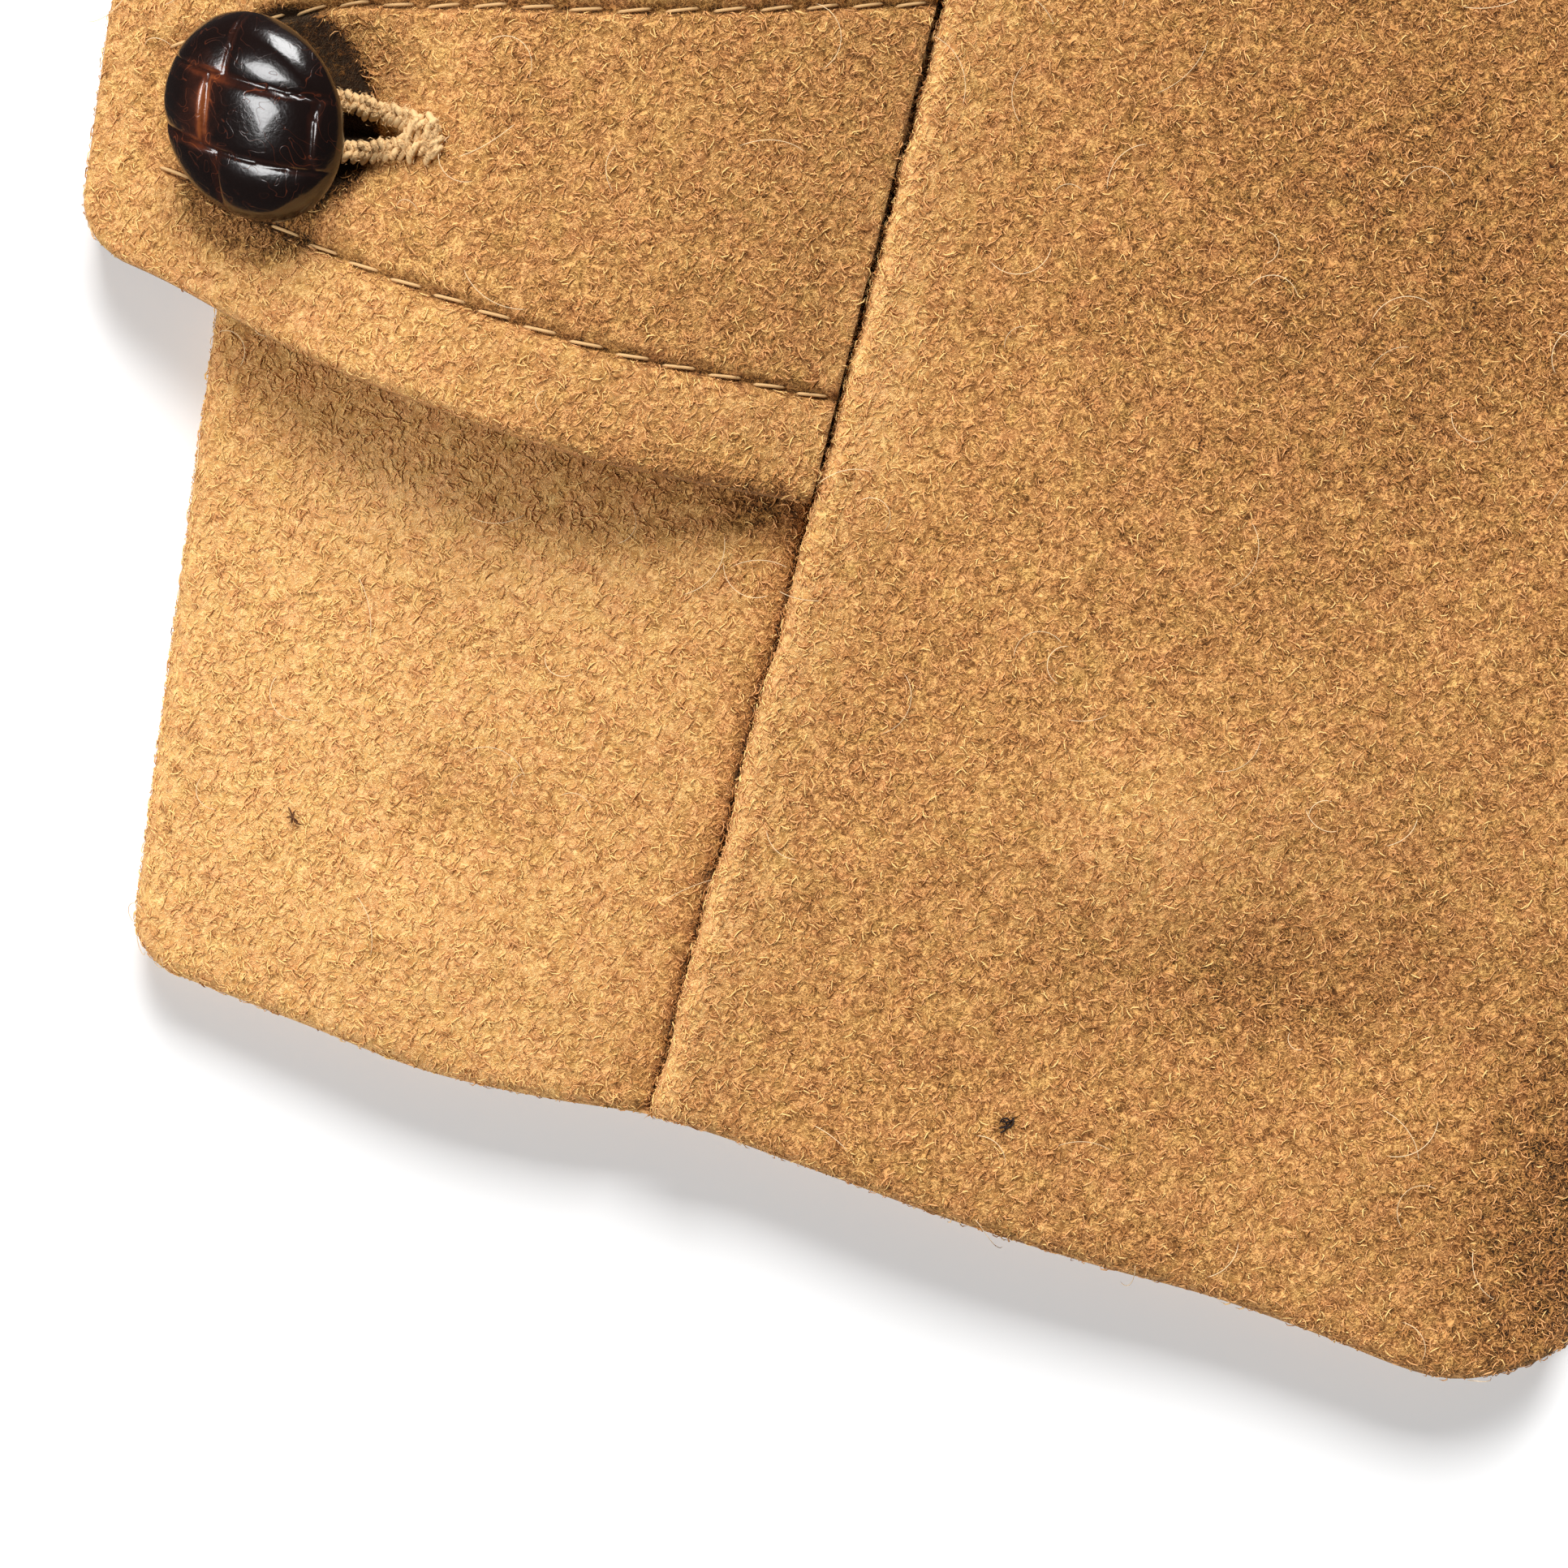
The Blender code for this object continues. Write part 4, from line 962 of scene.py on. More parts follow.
def collar_wall():
    """The collar: sections carried round the neck's oval, the fall lowered until it rests on the coat."""
    angles, *sizes = (column(COLLAR_TABLE, COLLAR_COLUMNS, name) for name in COLLAR_COLUMNS)
    turn = np.linspace(angles[0], 180.0 - angles[0], COLLAR_ROWS)[:, None]
    half = np.where(turn <= 90.0, turn, 180.0 - turn)
    stand, fall, open_out, rest = (ease(angles, size, half) for size in sizes)
    bearing = np.radians(half)
    depth = np.where(half > 0.0, NECK_BACK, NECK_FRONT)
    base = np.concatenate((NECK_HALF_WIDTH * np.cos(bearing),
                           NECK_CENTRE_Y + depth * np.sin(bearing)), axis=1)
    facing = np.arctan2(np.sin(bearing) / depth, np.cos(bearing) / NECK_HALF_WIDTH)
    facing = facing + np.radians(np.maximum(0.0, open_out))
    heading = np.concatenate((np.cos(facing), np.sin(facing)), axis=1)
    none = 0.0 * half
    low, high = (np.radians(dip) + none for dip in COLLAR_DIPS)
    lean = COLLAR_LEAN + none
    for _ in range(COLLAR_TRIES):
        dip = 0.5 * (low + high)
        roll = (COLLAR_ROLL * (lean + dip), lean, -dip)
        arcs = [(stand, 0.5 * math.pi + none, lean), roll, (fall, -dip, -COLLAR_LEVEL * dip)]
        ends = np.cumsum([part[0] for part in arcs], axis=0)
        height, angle = chain(arcs, ends[2], COLLAR_BASE)[1:]
        too_high = height - COLLAR_CLOTH * np.cos(angle) > rest
        low = np.where(too_high, dip, low)
        high = np.where(too_high, high, dip)
    distance = spread((none, *ends), COLLAR_STEPS)
    section = chain(arcs, distance, COLLAR_BASE)
    from_tip = np.radians(half - angles[0]) * COLLAR_TIP_RUN
    edge = rounded(np.minimum(ends[2] - distance, from_tip + 0.0 * distance), COLLAR_ROUND)
    start = base - heading * COLLAR_CLOTH
    grids = [set_up(start, base + heading, section, out)
             for out in (-edge, -COLLAR_CLOTH + COLLAR_INNER * edge)]
    for points in grids:
        points[..., 0] *= np.where(turn > 90.0, -1.0, 1.0)
    return grids


def settle(points, mirrored, folded=True):
    """Points in the solids' frame: mirrored for the wearer's right, raised by soft folds, set to the neck."""
    points = points.copy()
    if mirrored:
        points[..., 0] *= -1.0
    if folded:
        points[..., 2] += lift(points[..., 0], points[..., 1])
    points[..., 1] += NECK_Y
    return points


def put(name, data):
    """Puts an object with its data into the scene."""
    item = bpy.data.objects.new(name, data)
    bpy.context.scene.collection.objects.link(item)
    return item


def put_mesh(name, points, faces, material):
    """A smooth mesh object at the origin from arrays of points and of faces with equal sides."""
    mesh = bpy.data.meshes.new(name)
    mesh.vertices.add(len(points))
    mesh.vertices.foreach_set("co", np.ascontiguousarray(points, dtype=np.float32).ravel())
    mesh.loops.add(faces.size)
    mesh.loops.foreach_set("vertex_index", np.ascontiguousarray(faces, dtype=np.int32).ravel())
    mesh.polygons.add(len(faces))
    mesh.polygons.foreach_set("loop_start", np.arange(len(faces), dtype=np.int32) * faces.shape[1])
    mesh.update(calc_edges=True)
    mesh.polygons.foreach_set("use_smooth", np.ones(len(faces), dtype=bool))
    mesh.materials.append(material)
    return put(name, mesh)


def grid_faces(rows, columns, first):
    """Four-cornered faces of a grid of points, counted from its first point."""
    corner = first + np.arange(rows - 1)[:, None] * columns + np.arange(columns - 1)[None, :]
    return np.stack((corner, corner + 1, corner + columns + 1, corner + columns), axis=2).reshape(-1, 4)


def grid_ring(rows, columns):
    """Points round a grid's border, in order."""
    index = np.arange(rows * columns).reshape(rows, columns)
    return np.concatenate((index[0, :-1], index[:-1, -1], index[-1, :0:-1], index[:0:-1, 0]))


def face_areas(points):
    """Area vector of each face of a grid: half the cross product of its diagonals."""
    return 0.5 * np.cross(points[1:, 1:] - points[:-1, :-1], points[1:, :-1] - points[:-1, 1:])


def outward(grids):
    """One where a grid's faces turn outwards as counted, minus one where they turn inwards."""
    outer, inner = grids
    row, place = outer.shape[0] // 2, outer.shape[1] // 2
    return 1.0 if face_areas(outer)[row, place].dot(outer[row, place] - inner[row, place]) > 0.0 else -1.0


def closed_cloth(name, grids, material):
    """A closed shell of cloth: outer grid, inner grid and the rim between them, faces turned outwards."""
    outer, inner = grids
    rows, columns = outer.shape[:2]
    count = rows * columns
    ring = grid_ring(rows, columns)
    after = np.roll(ring, -1)
    faces = np.concatenate((grid_faces(rows, columns, 0), grid_faces(rows, columns, count)[:, ::-1],
                            np.stack((after, ring, ring + count, after + count), axis=1)))
    if outward(grids) < 0.0:
        faces = faces[:, ::-1]
    return put_mesh(name, np.concatenate((outer.reshape(-1, 3), inner.reshape(-1, 3))), faces, material)


def strands(name, paths, radius, sides, material):
    """Round strands drawn to a point at both ends: rings square to each path's run, joined by triangles."""
    count, stops = paths.shape[:2]
    run = unit(np.gradient(paths, axis=1)[:, 1:-1])
    side = unit(np.cross(run, NEARLY_UP))
    over = np.cross(side, run)
    turn = np.arange(sides)[:, None] * 2.0 * np.pi / sides
    ring = np.cos(turn) * side[:, :, None] + np.sin(turn) * over[:, :, None]
    ring = paths[:, 1:-1, None] + np.broadcast_to(radius, (count, stops))[:, 1:-1, None, None] * ring
    points = np.concatenate((paths[:, :1], ring.reshape(count, -1, 3), paths[:, -1:]), axis=1)
    k = np.arange(sides)
    after = (k + 1) % sides
    base = 1 + sides * np.arange(stops - 3)[:, None]
    low, low_after = base + k, base + after
    last = points.shape[1] - 1
    end = last - sides
    faces = np.concatenate((
        np.stack((0 * k, 1 + k, 1 + after), axis=1),
        np.stack((low, low_after + sides, low_after), axis=2).reshape(-1, 3),
        np.stack((low, low + sides, low_after + sides), axis=2).reshape(-1, 3),
        np.stack((last + 0 * k, end + after, end + k), axis=1)))
    faces = faces[None] + points.shape[1] * np.arange(count)[:, None, None]
    return put_mesh(name, points.reshape(-1, 3), faces.reshape(-1, 3), material)


def stitches(line, bow):
    """Paths of running stitches along a line: each bows up and dips at both ends, a little slanted."""
    run = np.concatenate(([0.0], np.cumsum(np.linalg.norm(np.diff(line, axis=0), axis=1))))
    count = int(run[-1] / STITCH_PITCH)
    share = np.linspace(-1.0, 1.0, STITCH_STOPS)
    at = ((np.arange(count) + 0.5) * STITCH_PITCH)[:, None] + 0.5 * STITCH_LENGTH * share
    points = np.stack([np.interp(at, run, line[:, k]) for k in range(3)], axis=2)
    side = unit(np.cross(unit(np.gradient(points, axis=1)), (0.0, 0.0, 1.0)))
    points = points + side * (STITCH_SLANT * share)[:, None]
    points[..., 2] += bow * (1.0 - np.abs(share) ** 4) - THREAD
    return points


def buttonhole(start, heading, length, face):
    """Paths of a worked buttonhole: two plaited ridges that part towards the eyelet, and a lumpy bar."""
    across = np.array((-heading[1], heading[0]))
    share = np.linspace(0.0, 1.0, PURL_STOPS)
    arch = np.sin(np.pi * share) ** PURL_ARCH
    count = int(length / PURL_PITCH)
    draw = np.random.default_rng(HOLE_SEED)
    paths = []
    for side, leg in ((-1.0, -1.0), (-1.0, 1.0), (1.0, -1.0), (1.0, 1.0)):
        at = (np.arange(count) + draw.uniform(*PURL_PLACES, count)) * length / count
        middle = RIDGE_FROM + (RIDGE_TO - RIDGE_FROM) * at / length
        aside = side * middle[:, None] + leg * draw.uniform(*PURL_LENGTHS, (count, 1)) * (share - PURL_BACK)
        along = at[:, None] + draw.uniform(*PURL_SLANTS, (count, 1)) * (share - 0.5)
        rise = draw.uniform(*PURL_RISES, (count, 1)) * arch - PURL_SINK * share
        paths.append((along, aside, rise))
    turn, size, lean = draw.uniform(BAR_LEAST, BAR_MOST, (BAR_STRANDS, 3)).T[..., None]
    middle, off = draw.uniform(-1.0, 1.0, (BAR_STRANDS, 2)).T[..., None] * BAR_SPREAD
    along = middle - BAR_BACK + size * np.cos(turn) * (share - 0.5)
    aside = off + size * np.sin(turn) * (share - 0.5)
    paths.append((along, aside, lean * arch - PURL_SINK))
    along, aside, rise = (np.concatenate(part) for part in zip(*paths))
    plan = start + along[..., None] * heading + aside[..., None] * across
    return np.concatenate((plan, (face(along) + rise)[..., None]), axis=2)


def thread_shank(foot, clear):
    """Paths of the threads that hold a button: a ring of upright strands from the cloth into its foot."""
    share = np.linspace(0.0, 1.0, PURL_STOPS)
    start = np.arange(SHANK_THREADS)[:, None] * 2.0 * np.pi / SHANK_THREADS
    turn = start + SHANK_TWIST * share
    x, y = foot[0] + SHANK_RADIUS * np.cos(turn), foot[1] + SHANK_RADIUS * np.sin(turn)
    z = foot[2] + SHANK_TOP - (clear + DIMPLE + SHANK_SINK) * share + 0.0 * start
    return np.stack((x, y, z), axis=2)


def weave(x, y):
    """Relief of woven straps on a unit disc, each a pillow that dives under its neighbours, and its wear."""
    row = np.round((y - STRAP_MIDDLE[1]) / STRAP_WIDE)
    b = (y - STRAP_MIDDLE[1]) / STRAP_WIDE - row
    from_middle = (x - STRAP_MIDDLE[0] - STRAP_SHIFT * np.abs(row)) / STRAP_LONG
    step = np.round(from_middle)
    a = from_middle - step
    over = (row + step) % 2.0 == 0.0
    along = np.abs(2.0 * np.where(over, a, b))
    side = np.abs(2.0 * np.where(over, b, a))
    relief = (1.0 - STRAP_DIVE * along ** STRAP_DIVE_POWER) * (1.0 - STRAP_EDGE * side ** STRAP_EDGE_POWER)
    off = np.minimum((0.5 - np.abs(a)) * STRAP_LONG, (0.5 - np.abs(b)) * STRAP_WIDE)
    rubbed = np.exp(-((x - WORN_SPOT[0]) / WORN_HALF[0]) ** 2 - ((y - WORN_SPOT[1]) / WORN_HALF[1]) ** 2)
    at_edge = np.exp(-((off - EDGE_WEAR_OFF) / EDGE_WEAR_OFF) ** 2)
    worn = (EDGE_WEAR[0] + EDGE_WEAR[1] * rubbed) * at_edge + SPOT_WEAR * rubbed
    return WEAVE_RELIEF * relief - STRAP_GAP * np.exp(-(off / STRAP_GAP) ** 2), worn


def woven_button(name, diameter, foot, lean, lines, mirrored):
    """A dome of woven straps on a shank: a square grid drawn out to a disc, raised by dome and weave."""
    bearing, tilt, spin = (math.radians(angle) for angle in lean)
    even = np.linspace(-1.0, 1.0, lines)
    along, across = np.meshgrid(even, even, indexing="ij")
    x = along * np.sqrt(1.0 - 0.5 * across ** 2)
    y = across * np.sqrt(1.0 - 0.5 * along ** 2)
    out = np.minimum(np.hypot(x, y), 1.0)
    relief, worn = weave(x, y)
    height = ease(*(column(DOME_TABLE, DOME_COLUMNS, key) for key in DOME_COLUMNS), out)
    height = height + relief * np.clip((1.0 - out) / DOME_RIM, 0.0, 1.0)
    dome = np.stack((x, y, height), axis=2).reshape(-1, 3)
    ring = grid_ring(lines, lines)
    rounds = np.array(UNDERSIDE_TABLE)
    level = rounds[:, None, :1] * dome[None, ring, :2]
    depth = np.broadcast_to(rounds[:, None, 1:], (len(rounds), len(ring), 1))
    below = np.concatenate((level, depth), axis=2)
    points = np.concatenate((dome, below.reshape(-1, 3), ((0.0, 0.0, 0.0),)))
    low = lines ** 2 + np.arange(len(rounds) * len(ring)).reshape(len(rounds), -1)
    rows = np.concatenate((ring[None], low))
    after = np.roll(rows, -1, axis=1)
    skirt = np.stack((rows[:-1], rows[1:], after[1:], after[:-1]), axis=2).reshape(-1, 4)
    pole = np.full(len(ring) // 2, len(points) - 1)
    foot_faces = np.stack((pole, after[-1, 1::2], after[-1, ::2], rows[-1, ::2]), axis=1)
    faces = np.concatenate((grid_faces(lines, lines, 0)[:, ::-1], skirt[:, ::-1], foot_faces))
    turned = Matrix.Rotation(bearing, 3, "Z") @ Matrix.Rotation(tilt, 3, "Y") @ Matrix.Rotation(spin, 3, "Z")
    points = 0.5 * diameter * points @ np.array(turned).T + np.asarray(foot)
    if mirrored:
        points[:, 0] *= -1.0
        faces = faces[:, ::-1]
    points[:, 1] += NECK_Y
    piece = put_mesh(name + "_woven", points, faces, button_leather)
    give(piece, "wear", worn)
    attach(piece, "root")
    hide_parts(name)


def nap_weights(grids, kept):
    """Share of the nap that each face of an outer grid bears: its area, where the picture shows it."""
    outer = grids[0]
    areas = face_areas(outer)
    size = np.linalg.norm(areas, axis=2)
    middle = 0.25 * (outer[1:, 1:] + outer[:-1, :-1] + outer[1:, :-1] + outer[:-1, 1:])
    shown = 1.0 - smooth(off_picture(middle[..., :2]) / NAP_FADE)
    upward = outward(grids) * areas[..., 2] > NAP_STEEPEST * size
    return size * shown * upward * kept


def nap_roots(grids, weights, count, draw):
    """Fibre roots scattered over an outer face by the faces' weights, with their normals."""
    outer = grids[0]
    pick = draw.choice(weights.size, count, p=weights.ravel() / weights.sum())
    i, j = np.divmod(pick, weights.shape[1])
    a, b = draw.random((2, count, 1))
    near = outer[i, j] * (1.0 - b) + outer[i, j + 1] * b
    far = outer[i + 1, j] * (1.0 - b) + outer[i + 1, j + 1] * b
    return near * (1.0 - a) + far * a, outward(grids) * unit(face_areas(outer)[i, j])


def nap_on(pieces, count, draw):
    """Roots and normals shared out over several pieces by the nap that each bears."""
    shares = np.array([weights.sum() for _, weights in pieces])
    counts = np.round(count * shares / shares.sum()).astype(int)
    parts = [nap_roots(grids, weights, part, draw) for (grids, weights), part in zip(pieces, counts)]
    return (np.concatenate(part) for part in zip(*parts))


def nearest(pieces, across, up):
    """Point and normal of the pieces' outer faces nearest to a place in the picture, the upper face first."""
    found = []
    for grids, _ in pieces:
        face = grids[0][:-1, :-1]
        at_across, at_up = picture_place(face[..., :2])
        far = np.hypot(at_across - across, at_up - up) - UPPER_FIRST * face[..., 2]
        i, j = np.unravel_index(np.argmin(far), far.shape)
        found.append((far[i, j], face[i, j], outward(grids) * unit(face_areas(grids[0])[i, j])))
    return min(found, key=lambda item: item[0])[1:]


def fibres(root, normal, draw, length, bend, rise, stops):
    """Curled fibres lying on a face: level steps that turn evenly, raised in the middle and at one end."""
    count = len(root)
    one = unit(np.cross(normal, FIBRE_AXIS))
    two = np.cross(normal, one)
    steps = np.arange(stops - 1) + 0.5
    turn = draw.uniform(*bend, (count, 1)) * draw.choice((-1.0, 1.0), (count, 1))
    angle = draw.uniform(0.0, 2.0 * np.pi, (count, 1)) + turn * steps / (stops - 1)
    step = draw.uniform(*length, (count, 1)) / (stops - 1)
    x = np.cumsum(np.concatenate((np.zeros((count, 1)), np.cos(angle) * step), axis=1), axis=1)
    y = np.cumsum(np.concatenate((np.zeros((count, 1)), np.sin(angle) * step), axis=1), axis=1)
    x, y = x - x.mean(axis=1, keepdims=True), y - y.mean(axis=1, keepdims=True)
    share = np.linspace(0.0, 1.0, stops)
    arch = FIBRE_ARCH * np.sin(np.pi * share ** FIBRE_SKEW) - FIBRE_SINK + FIBRE_END * share
    height = draw.uniform(*rise, (count, 1)) * arch
    level = root[:, None] + x[..., None] * one[:, None] + y[..., None] * two[:, None]
    return level + height[..., None] * normal[:, None]


def node(tree, kind, **values):
    """A shader node with its properties set."""
    made = tree.nodes.new(kind)
    for key, value in values.items():
        setattr(made, key, value)
    return made


def set_inputs(made, values):
    """Sets a shader node's inputs by their names."""
    for key, value in values.items():
        made.inputs[key].default_value = value


def own_value(tree, name):
    """The value that a piece stores at its points under a name."""
    return node(tree, "ShaderNodeAttribute", attribute_name=name).outputs["Fac"]


def noise(tree, where, scale, detail, rough, twist=0.0):
    """Noise of a size on object coordinates."""
    made = node(tree, "ShaderNodeTexNoise")
    set_inputs(made, {"Scale": scale, "Detail": detail, "Roughness": rough, "Distortion": twist})
    tree.links.new(where, made.inputs["Vector"])
    return made.outputs["Fac"]


def sums(tree, kind, first, second):
    """Arithmetic on two values, each a socket or a number."""
    made = node(tree, "ShaderNodeMath", operation=kind)
    for place, value in enumerate((first, second)):
        if isinstance(value, float):
            made.inputs[place].default_value = value
        else:
            tree.links.new(value, made.inputs[place])
    return made.outputs[0]


def ramp(tree, value, stops):
    """Colour ramp through stops of (place, colour)."""
    made = node(tree, "ShaderNodeValToRGB")
    scale = made.color_ramp
    while len(scale.elements) < len(stops):
        scale.elements.new(0.5)
    for element, (place, colour) in zip(scale.elements, stops):
        element.position = place
        element.color = (*colour, 1.0)
    tree.links.new(value, made.inputs["Fac"])
    return made.outputs["Color"]


def new_material(name, settings):
    """A node material with its tree and shader, whose inputs are set."""
    material = bpy.data.materials.new(name)
    material.use_nodes = True
    shader = material.node_tree.nodes["Principled BSDF"]
    set_inputs(shader, settings)
    return material, material.node_tree, shader


def roughen(tree, shader, height, strength, distance):
    """Bump of a height on a shader."""
    bump = node(tree, "ShaderNodeBump")
    set_inputs(bump, {"Strength": strength, "Distance": distance})
    tree.links.new(height, bump.inputs["Height"])
    tree.links.new(bump.outputs["Normal"], shader.inputs["Normal"])


def hairs(tree, where, scale, twist, thin):
    """Thin curly lines: the band where a twisted noise crosses its middle value."""
    value = noise(tree, where, scale, 1.0, 0.5, twist)
    off = sums(tree, "ABSOLUTE", sums(tree, "SUBTRACT", value, 0.5), 0.0)
    made = node(tree, "ShaderNodeMapRange", interpolation_type="SMOOTHSTEP")
    set_inputs(made, {"From Min": thin, "From Max": 0.0})
    tree.links.new(off, made.inputs["Value"])
    return made.outputs["Result"]


def wool_cloth():
    """Brushed camel melton: matted curly fibres over a darker ground, by the piece's tone with painted light
    and shade, and its painted shading and soil.
    """
    material, tree, shader = new_material("camel_wool", {
        "Roughness": 0.95, "Specular IOR Level": 0.12, "Sheen Weight": 0.18, "Sheen Roughness": 0.5,
        "Sheen Tint": (0.95, 0.72, 0.45, 1.0)})
    where = node(tree, "ShaderNodeTexCoord").outputs["Object"]
    lines = [hairs(tree, where, scale, twist, thin) for scale, twist, thin in
             ((900.0, 1.5, 0.05), (1250.0, 1.2, 0.055), (1700.0, 1.0, 0.06))]
    web = sums(tree, "MAXIMUM", lines[0], lines[1])
    web = sums(tree, "MAXIMUM", web, sums(tree, "MULTIPLY", lines[2], 0.8))
    clump = noise(tree, where, 1100.0, 3.0, 0.6)
    cloud = noise(tree, where, 90.0, 3.0, 0.55)
    depth = sums(tree, "ADD", sums(tree, "MULTIPLY", web, 0.36), sums(tree, "MULTIPLY", clump, 0.75))
    depth = sums(tree, "ADD", depth, sums(tree, "MULTIPLY", sums(tree, "SUBTRACT", cloud, 0.5), 0.16))
    # tone carries painted light and shade by piece; the other value carries painted shade and light besides a
    # soiled patch
    tone_and_shade, shading_and_soil = own_value(tree, "tone_and_shade"), own_value(tree, "shading_and_soil")
    shade = sums(tree, "SUBTRACT", sums(tree, "MULTIPLY", tone_and_shade, 0.55), sums(tree, "MULTIPLY", shading_and_soil, 0.22))
    colour = ramp(tree, sums(tree, "ADD", sums(tree, "SUBTRACT", depth, 0.55), shade), WOOL_RAMP)
    dye = noise(tree, where, 420.0, 2.0, 0.5)
    shift = node(tree, "ShaderNodeHueSaturation")
    tree.links.new(sums(tree, "ADD", sums(tree, "MULTIPLY", dye, 0.032), 0.484), shift.inputs["Hue"])
    tree.links.new(colour, shift.inputs["Color"])
    tree.links.new(shift.outputs["Color"], shader.inputs["Base Color"])
    roughen(tree, shader, depth, 0.6, 0.0006)
    return material


def fibre_wool(name, colour):
    """One tint of loose wool fibre."""
    settings = {"Roughness": 0.75, "Specular IOR Level": 0.2, "Base Color": (*colour, 1.0)}
    return new_material(name, settings)[0]


def leather():
    """Near-black brown polished leather, worn red-brown on the straps' edges, with fine cracks and grain."""
    material, tree, shader = new_material("woven_leather_polished", {
        "Roughness": 0.21, "Specular IOR Level": 0.45, "Coat Weight": 0.50, "Coat Roughness": 0.08})
    where = node(tree, "ShaderNodeTexCoord").outputs["Object"]
    patch = noise(tree, where, 260.0, 4.0, 0.65)
    grain = noise(tree, where, 2200.0, 3.0, 0.6)
    worn = sums(tree, "MULTIPLY", own_value(tree, "wear"), sums(tree, "MULTIPLY", patch, 1.6))
    worn = sums(tree, "ADD", worn, sums(tree, "MULTIPLY", sums(tree, "SUBTRACT", patch, 0.45), 0.4))
    crack = hairs(tree, where, 300.0, 1.6, 0.012)
    worn = sums(tree, "ADD", worn, sums(tree, "MULTIPLY", crack, sums(tree, "MULTIPLY", patch, 0.9)))
    tree.links.new(ramp(tree, worn, LEATHER_RAMP), shader.inputs["Base Color"])
    roughen(tree, shader, sums(tree, "SUBTRACT", grain, sums(tree, "MULTIPLY", crack, 0.8)), 0.16, 0.0002)
    return material


def give(piece, name, values):
    """Stores one value for each of a piece's points under a name, nothing for the points left over."""
    stored = np.zeros(len(piece.data.vertices), dtype=np.float32)
    stored[:values.size] = values.ravel()
    piece.data.attributes.new(name, "FLOAT", "POINT").data.foreach_set("value", stored)


def lay_cloth(kind, side, grids, shading_and_soil=0.0):
    """Makes a piece of cloth from its settled grids in place of its solid, which it hides, and stores at its
    points its tone with painted light and shade and its painted shading and soil.
    """
    name, cut = kind + side, CUTS[kind]
    piece = closed_cloth(name + "_cloth", grids, wool)
    # tone with painted light and shade by piece, and painted shading with a soiled patch
    give(piece, "tone_and_shade", np.full(2 * grids[0][..., 0].size, TONES_AND_SHADES[kind]))
    give(piece, "shading_and_soil", shading_and_smudges(grids[0][..., :2]) + shading_and_soil)
    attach(piece, "root")
    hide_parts(name)


def add_sewing(name, paths, radius, sides, material):
    """Adds strands that belong to the cloth: thread, nap, stray hairs or lint."""
    piece = strands(name, paths, radius, sides, material)
    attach(piece, "root")


def crease(grids, columns=None):
    """Grids of an upper layer with the swells and creases pressed into the columns named first."""
    for points in grids:
        part = points[:, :columns]
        part[..., 2] += creases(part[..., :2]) + swells(part[..., :2]) + swells(part[..., :2] * MIRROR)
    return grids


wool = wool_cloth()
button_leather = leather()
sewn = []
holes = []

# Body and collar
back_grids = [settle(points, False) for points in back_panel()]
right_grids = crease([settle(points, True) for points in front_panel(False)])
left_grids = crease([settle(points, False) for points in front_panel(True)])
collar_grids = [settle(points, False, False) for points in collar_wall()]
lay_cloth("back", "", back_grids)
lay_cloth("front", "_right", right_grids)
lay_cloth("front", "_left", left_grids)
lay_cloth("collar", "", collar_grids)
fall = collar_grids[0]
fall_line = np.concatenate((fall[TIP_INSET, FALL_FROM:-FALL_INSET],
                            fall[TIP_INSET:-TIP_INSET, -FALL_INSET],
                            fall[-TIP_INSET - 1, -FALL_INSET:FALL_FROM:-1]))
sewn.extend(stitches(line, EDGE_BOW) for line in (left_grids[0][1:-1, -LAP_INSET], fall_line))

# Sleeves, tabs, tab stitching and cuff buttons, finer on the wearer's right, which the picture shows
for side, mirrored in (("_left", False), ("_right", True)):
    front, back, shadings_and_soils, upper_columns = sleeve_walls(mirrored)
    place = tab_place(front[0][:, 0, :2])
    front = crease([settle(points, mirrored) for points in front])
    back = crease([settle(points, mirrored) for points in back], upper_columns)
    tab, tab_along, tab_aside = cuff_tab(place, mirrored)
    tab = [settle(points, mirrored, False) for points in tab]
    # painted shade and light of the tab, beside the seam's painted shading of the sleeve walls
    shadings_and_soils.append(tab_shading(tab_along, tab_aside))
    lay_cloth("sleeve_front", side, front, shadings_and_soils[0])
    lay_cloth("sleeve_back", side, back, shadings_and_soils[1])
    lay_cloth("cuff_tab", side, tab, shadings_and_soils[2])
    long = np.linspace(STITCH_START, TAB_LENGTH - STITCH_END_INSET, STITCH_POINTS)
    for way in (-1.0, 1.0):
        line = tab_point(place, long, way * (tab_sizes(long)[0] - stitch_inset(long, way)))
        sewn.append(settle(stitches(line, STITCH_BOW), mirrored, False))
    root, heading, across = place[:3]
    start = root + heading * HOLE_START + across * HOLE_ASIDE
    hole = buttonhole(start, heading, HOLE_LENGTH, lambda along: tab_sizes(HOLE_START + along)[1])
    holes.append(settle(hole, mirrored, False))
    foot = (*(root + heading * BUTTON_ALONG), float(tab_sizes(np.array(BUTTON_ALONG))[1]) + BUTTON_CLEAR)
    lean = (math.degrees(math.atan2(heading[1], heading[0])) + BUTTON_TURN, BUTTON_TILT, BUTTON_SPIN)
    button_lines = FINE_BUTTON_LINES if mirrored else PLAIN_BUTTON_LINES
    woven_button("button_cuff" + side, CUFF_BUTTON, foot, lean, button_lines, mirrored)
    holes.append(settle(thread_shank(foot, BUTTON_CLEAR), mirrored, False))

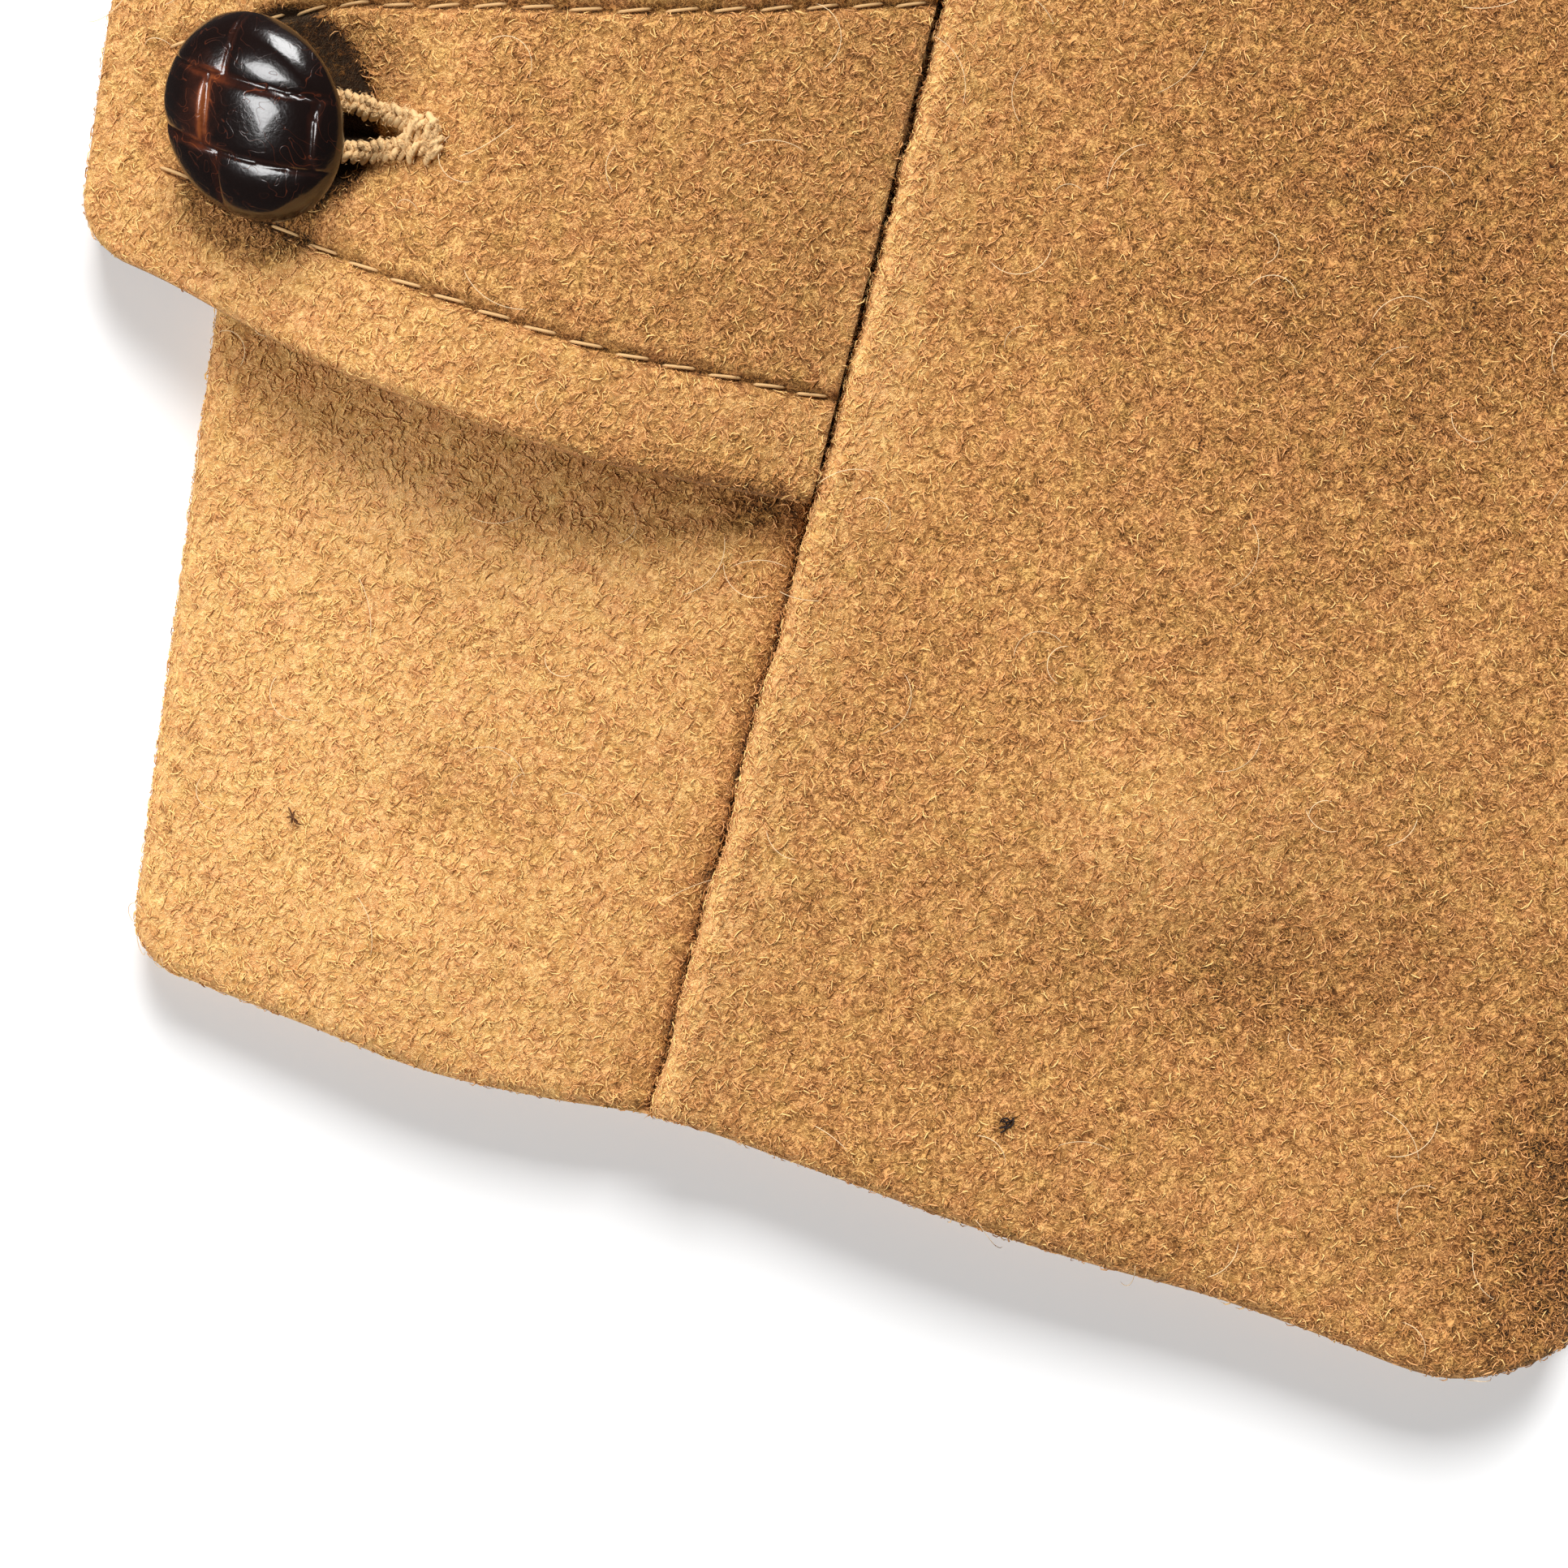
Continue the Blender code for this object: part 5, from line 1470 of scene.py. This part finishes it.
# Front buttons and their buttonholes
top = STACK + LAP_LIFT
for number, drop in enumerate(FRONT_BUTTON_Y, start=1):
    foot = (0.0, drop, top + FRONT_BUTTON_CLEAR)
    woven_button("button_front_%d" % number, FRONT_BUTTON, foot, FRONT_BUTTON_LEAN, PLAIN_BUTTON_LINES, False)
    start = np.array((FRONT_HOLE_LENGTH, drop))
    hole = buttonhole(start, np.array((-1.0, 0.0)), FRONT_HOLE_LENGTH, lambda along: top + 0.0 * along)
    holes.append(settle(hole, False))
    holes.append(settle(thread_shank(foot, FRONT_BUTTON_CLEAR), False))
purls = np.concatenate(holes)
purl_wool = fibre_wool("purl_thread", PURL_COLOUR)
thread_wool = fibre_wool("sewing_thread", STITCH_COLOUR)
add_sewing("stitching", np.concatenate(sewn), THREAD, THREAD_SIDES, thread_wool)
add_sewing("buttonhole_purls", purls, PURL, THREAD_SIDES, purl_wool)

# Nap of the right cuff: short curled fibre in three tints, fuzz of the buttonhole, long stray hairs, and lint
draw = np.random.default_rng(NAP_SEED)
kept = tab_nap(tab_along[:-1, :-1], tab_aside[:-1, :-1])
rim = np.where(np.arange(front[0].shape[1] - 1) < SEAM_FUZZ_COLUMNS, SEAM_FUZZ, 1.0)
napped = [(front, nap_weights(front, rim)), (back, nap_weights(back, 1.0)), (tab, nap_weights(tab, kept))]
# painted shading and soil under each napped piece, which steers the tints of the nap
shadings_and_soils = [shading_and_smudges(grids[0][:-1, :-1, :2]) + shading_and_soil[:-1, :-1] for (grids, _), shading_and_soil in zip(napped, shadings_and_soils)]
for tint, colour, shares, liking in NAP_TINTS:
    wool_tint = fibre_wool("fibre_" + tint, colour)
    pieces = [(grids, weights * share * np.exp(liking * shading_and_soil))
              for (grids, weights), share, shading_and_soil in zip(napped, shares, shadings_and_soils)]
    for kind, count, length, bend, rise, stops in NAP_KINDS:
        root, normal = nap_on(pieces, count, draw)
        paths = fibres(root, normal, draw, length, bend, rise, stops)
        radius = draw.uniform(*NAP_RADIUS, (len(root), 1))
        add_sewing("nap_%s_%s" % (kind, tint), paths, radius, FIBRE_SIDES, wool_tint)
worked = purls[off_picture(purls[:, 3, :2]) < 0.0, 1:-1].reshape(-1, 3)
root = worked[draw.integers(len(worked), size=FUZZ_COUNT)] + draw.normal(0.0, FUZZ_SPREAD, (FUZZ_COUNT, 3))
normal = unit(draw.normal(0.0, FUZZ_LEAN, (FUZZ_COUNT, 3)) + (0.0, 0.0, 1.0))
paths = fibres(root + PURL * normal, normal, draw, *FUZZ_KIND)
add_sewing("purl_fuzz", paths, FUZZ_RADIUS, FIBRE_SIDES, purl_wool)
root, normal = nap_on(napped, STRAY_COUNT, draw)
paths = fibres(root, normal, draw, *STRAY_KIND)
add_sewing("stray_hairs", paths, STRAY_RADIUS, FIBRE_SIDES, fibre_wool("fibre_pale", STRAY_COLOUR))
for tint, colour, across, up, spot, count in LINT_TABLE:
    point, normal = nearest(napped, across, up)
    root = point + LINT_RISE * normal + draw.normal(0.0, spot, (count, 3)) * (1.0, 1.0, 0.0)
    paths = fibres(root, np.tile(normal, (count, 1)), draw, *LINT_KIND)
    add_sewing("lint_" + tint, paths, LINT_RADIUS, LINT_SIDES, fibre_wool("lint_" + tint, colour))


def floor():
    """A wide pale floor just under the coat."""
    corners = ((-1.0, -1.0), (1.0, -1.0), (1.0, 1.0), (-1.0, 1.0))
    points = np.array([(FLOOR_HALF * x, FLOOR_HALF * y, -FLOOR_DROP) for x, y in corners])
    material = new_material("pale_floor", {"Roughness": 0.9, "Base Color": (*FLOOR_COLOUR, 1.0)})[0]
    item = put_mesh("floor", points, np.array(((0, 1, 2, 3),)), material)
    item.visible_glossy = False


def lamp(name, way, tilt, distance, size, power):
    """A square soft light aimed at the cuff, by its way round from the picture's right and its tilt."""
    light = bpy.data.lights.new(name, "AREA")
    light.size = size
    light.energy = power
    item = put(name, light)
    way, tilt = math.radians(way), math.radians(tilt)
    level = math.cos(way) * PICTURE_RIGHT + math.sin(way) * PICTURE_UP
    back = Vector((*(level * math.cos(tilt)), math.sin(tilt)))
    item.location = Vector((*PICTURE_AIM, 0.0)) + back * distance
    item.rotation_euler = back.to_track_quat("Z", "Y").to_euler()


def camera():
    """Camera straight above the cuff, turned so that the sleeve leans as in the picture."""
    data = bpy.data.cameras.new("camera")
    data.lens = LENS
    data.sensor_width = SENSOR
    data.clip_start = 0.01
    item = put("camera", data)
    item.location = (*PICTURE_AIM, PICTURE_HEIGHT + PICTURE_WIDTH * LENS / SENSOR)
    item.rotation_euler = (0.0, 0.0, -PICTURE_TURN)
    bpy.context.scene.camera = item


def surroundings():
    """Even white light from all round."""
    world = bpy.data.worlds.new("studio")
    world.use_nodes = True
    set_inputs(world.node_tree.nodes["Background"], {"Color": (1.0, 1.0, 1.0, 1.0), "Strength": SURROUNDINGS})
    bpy.context.scene.world = world


floor()
camera()
for settings in LAMPS:
    lamp(*settings)
surroundings()
bpy.context.scene.view_settings.view_transform = "Standard"
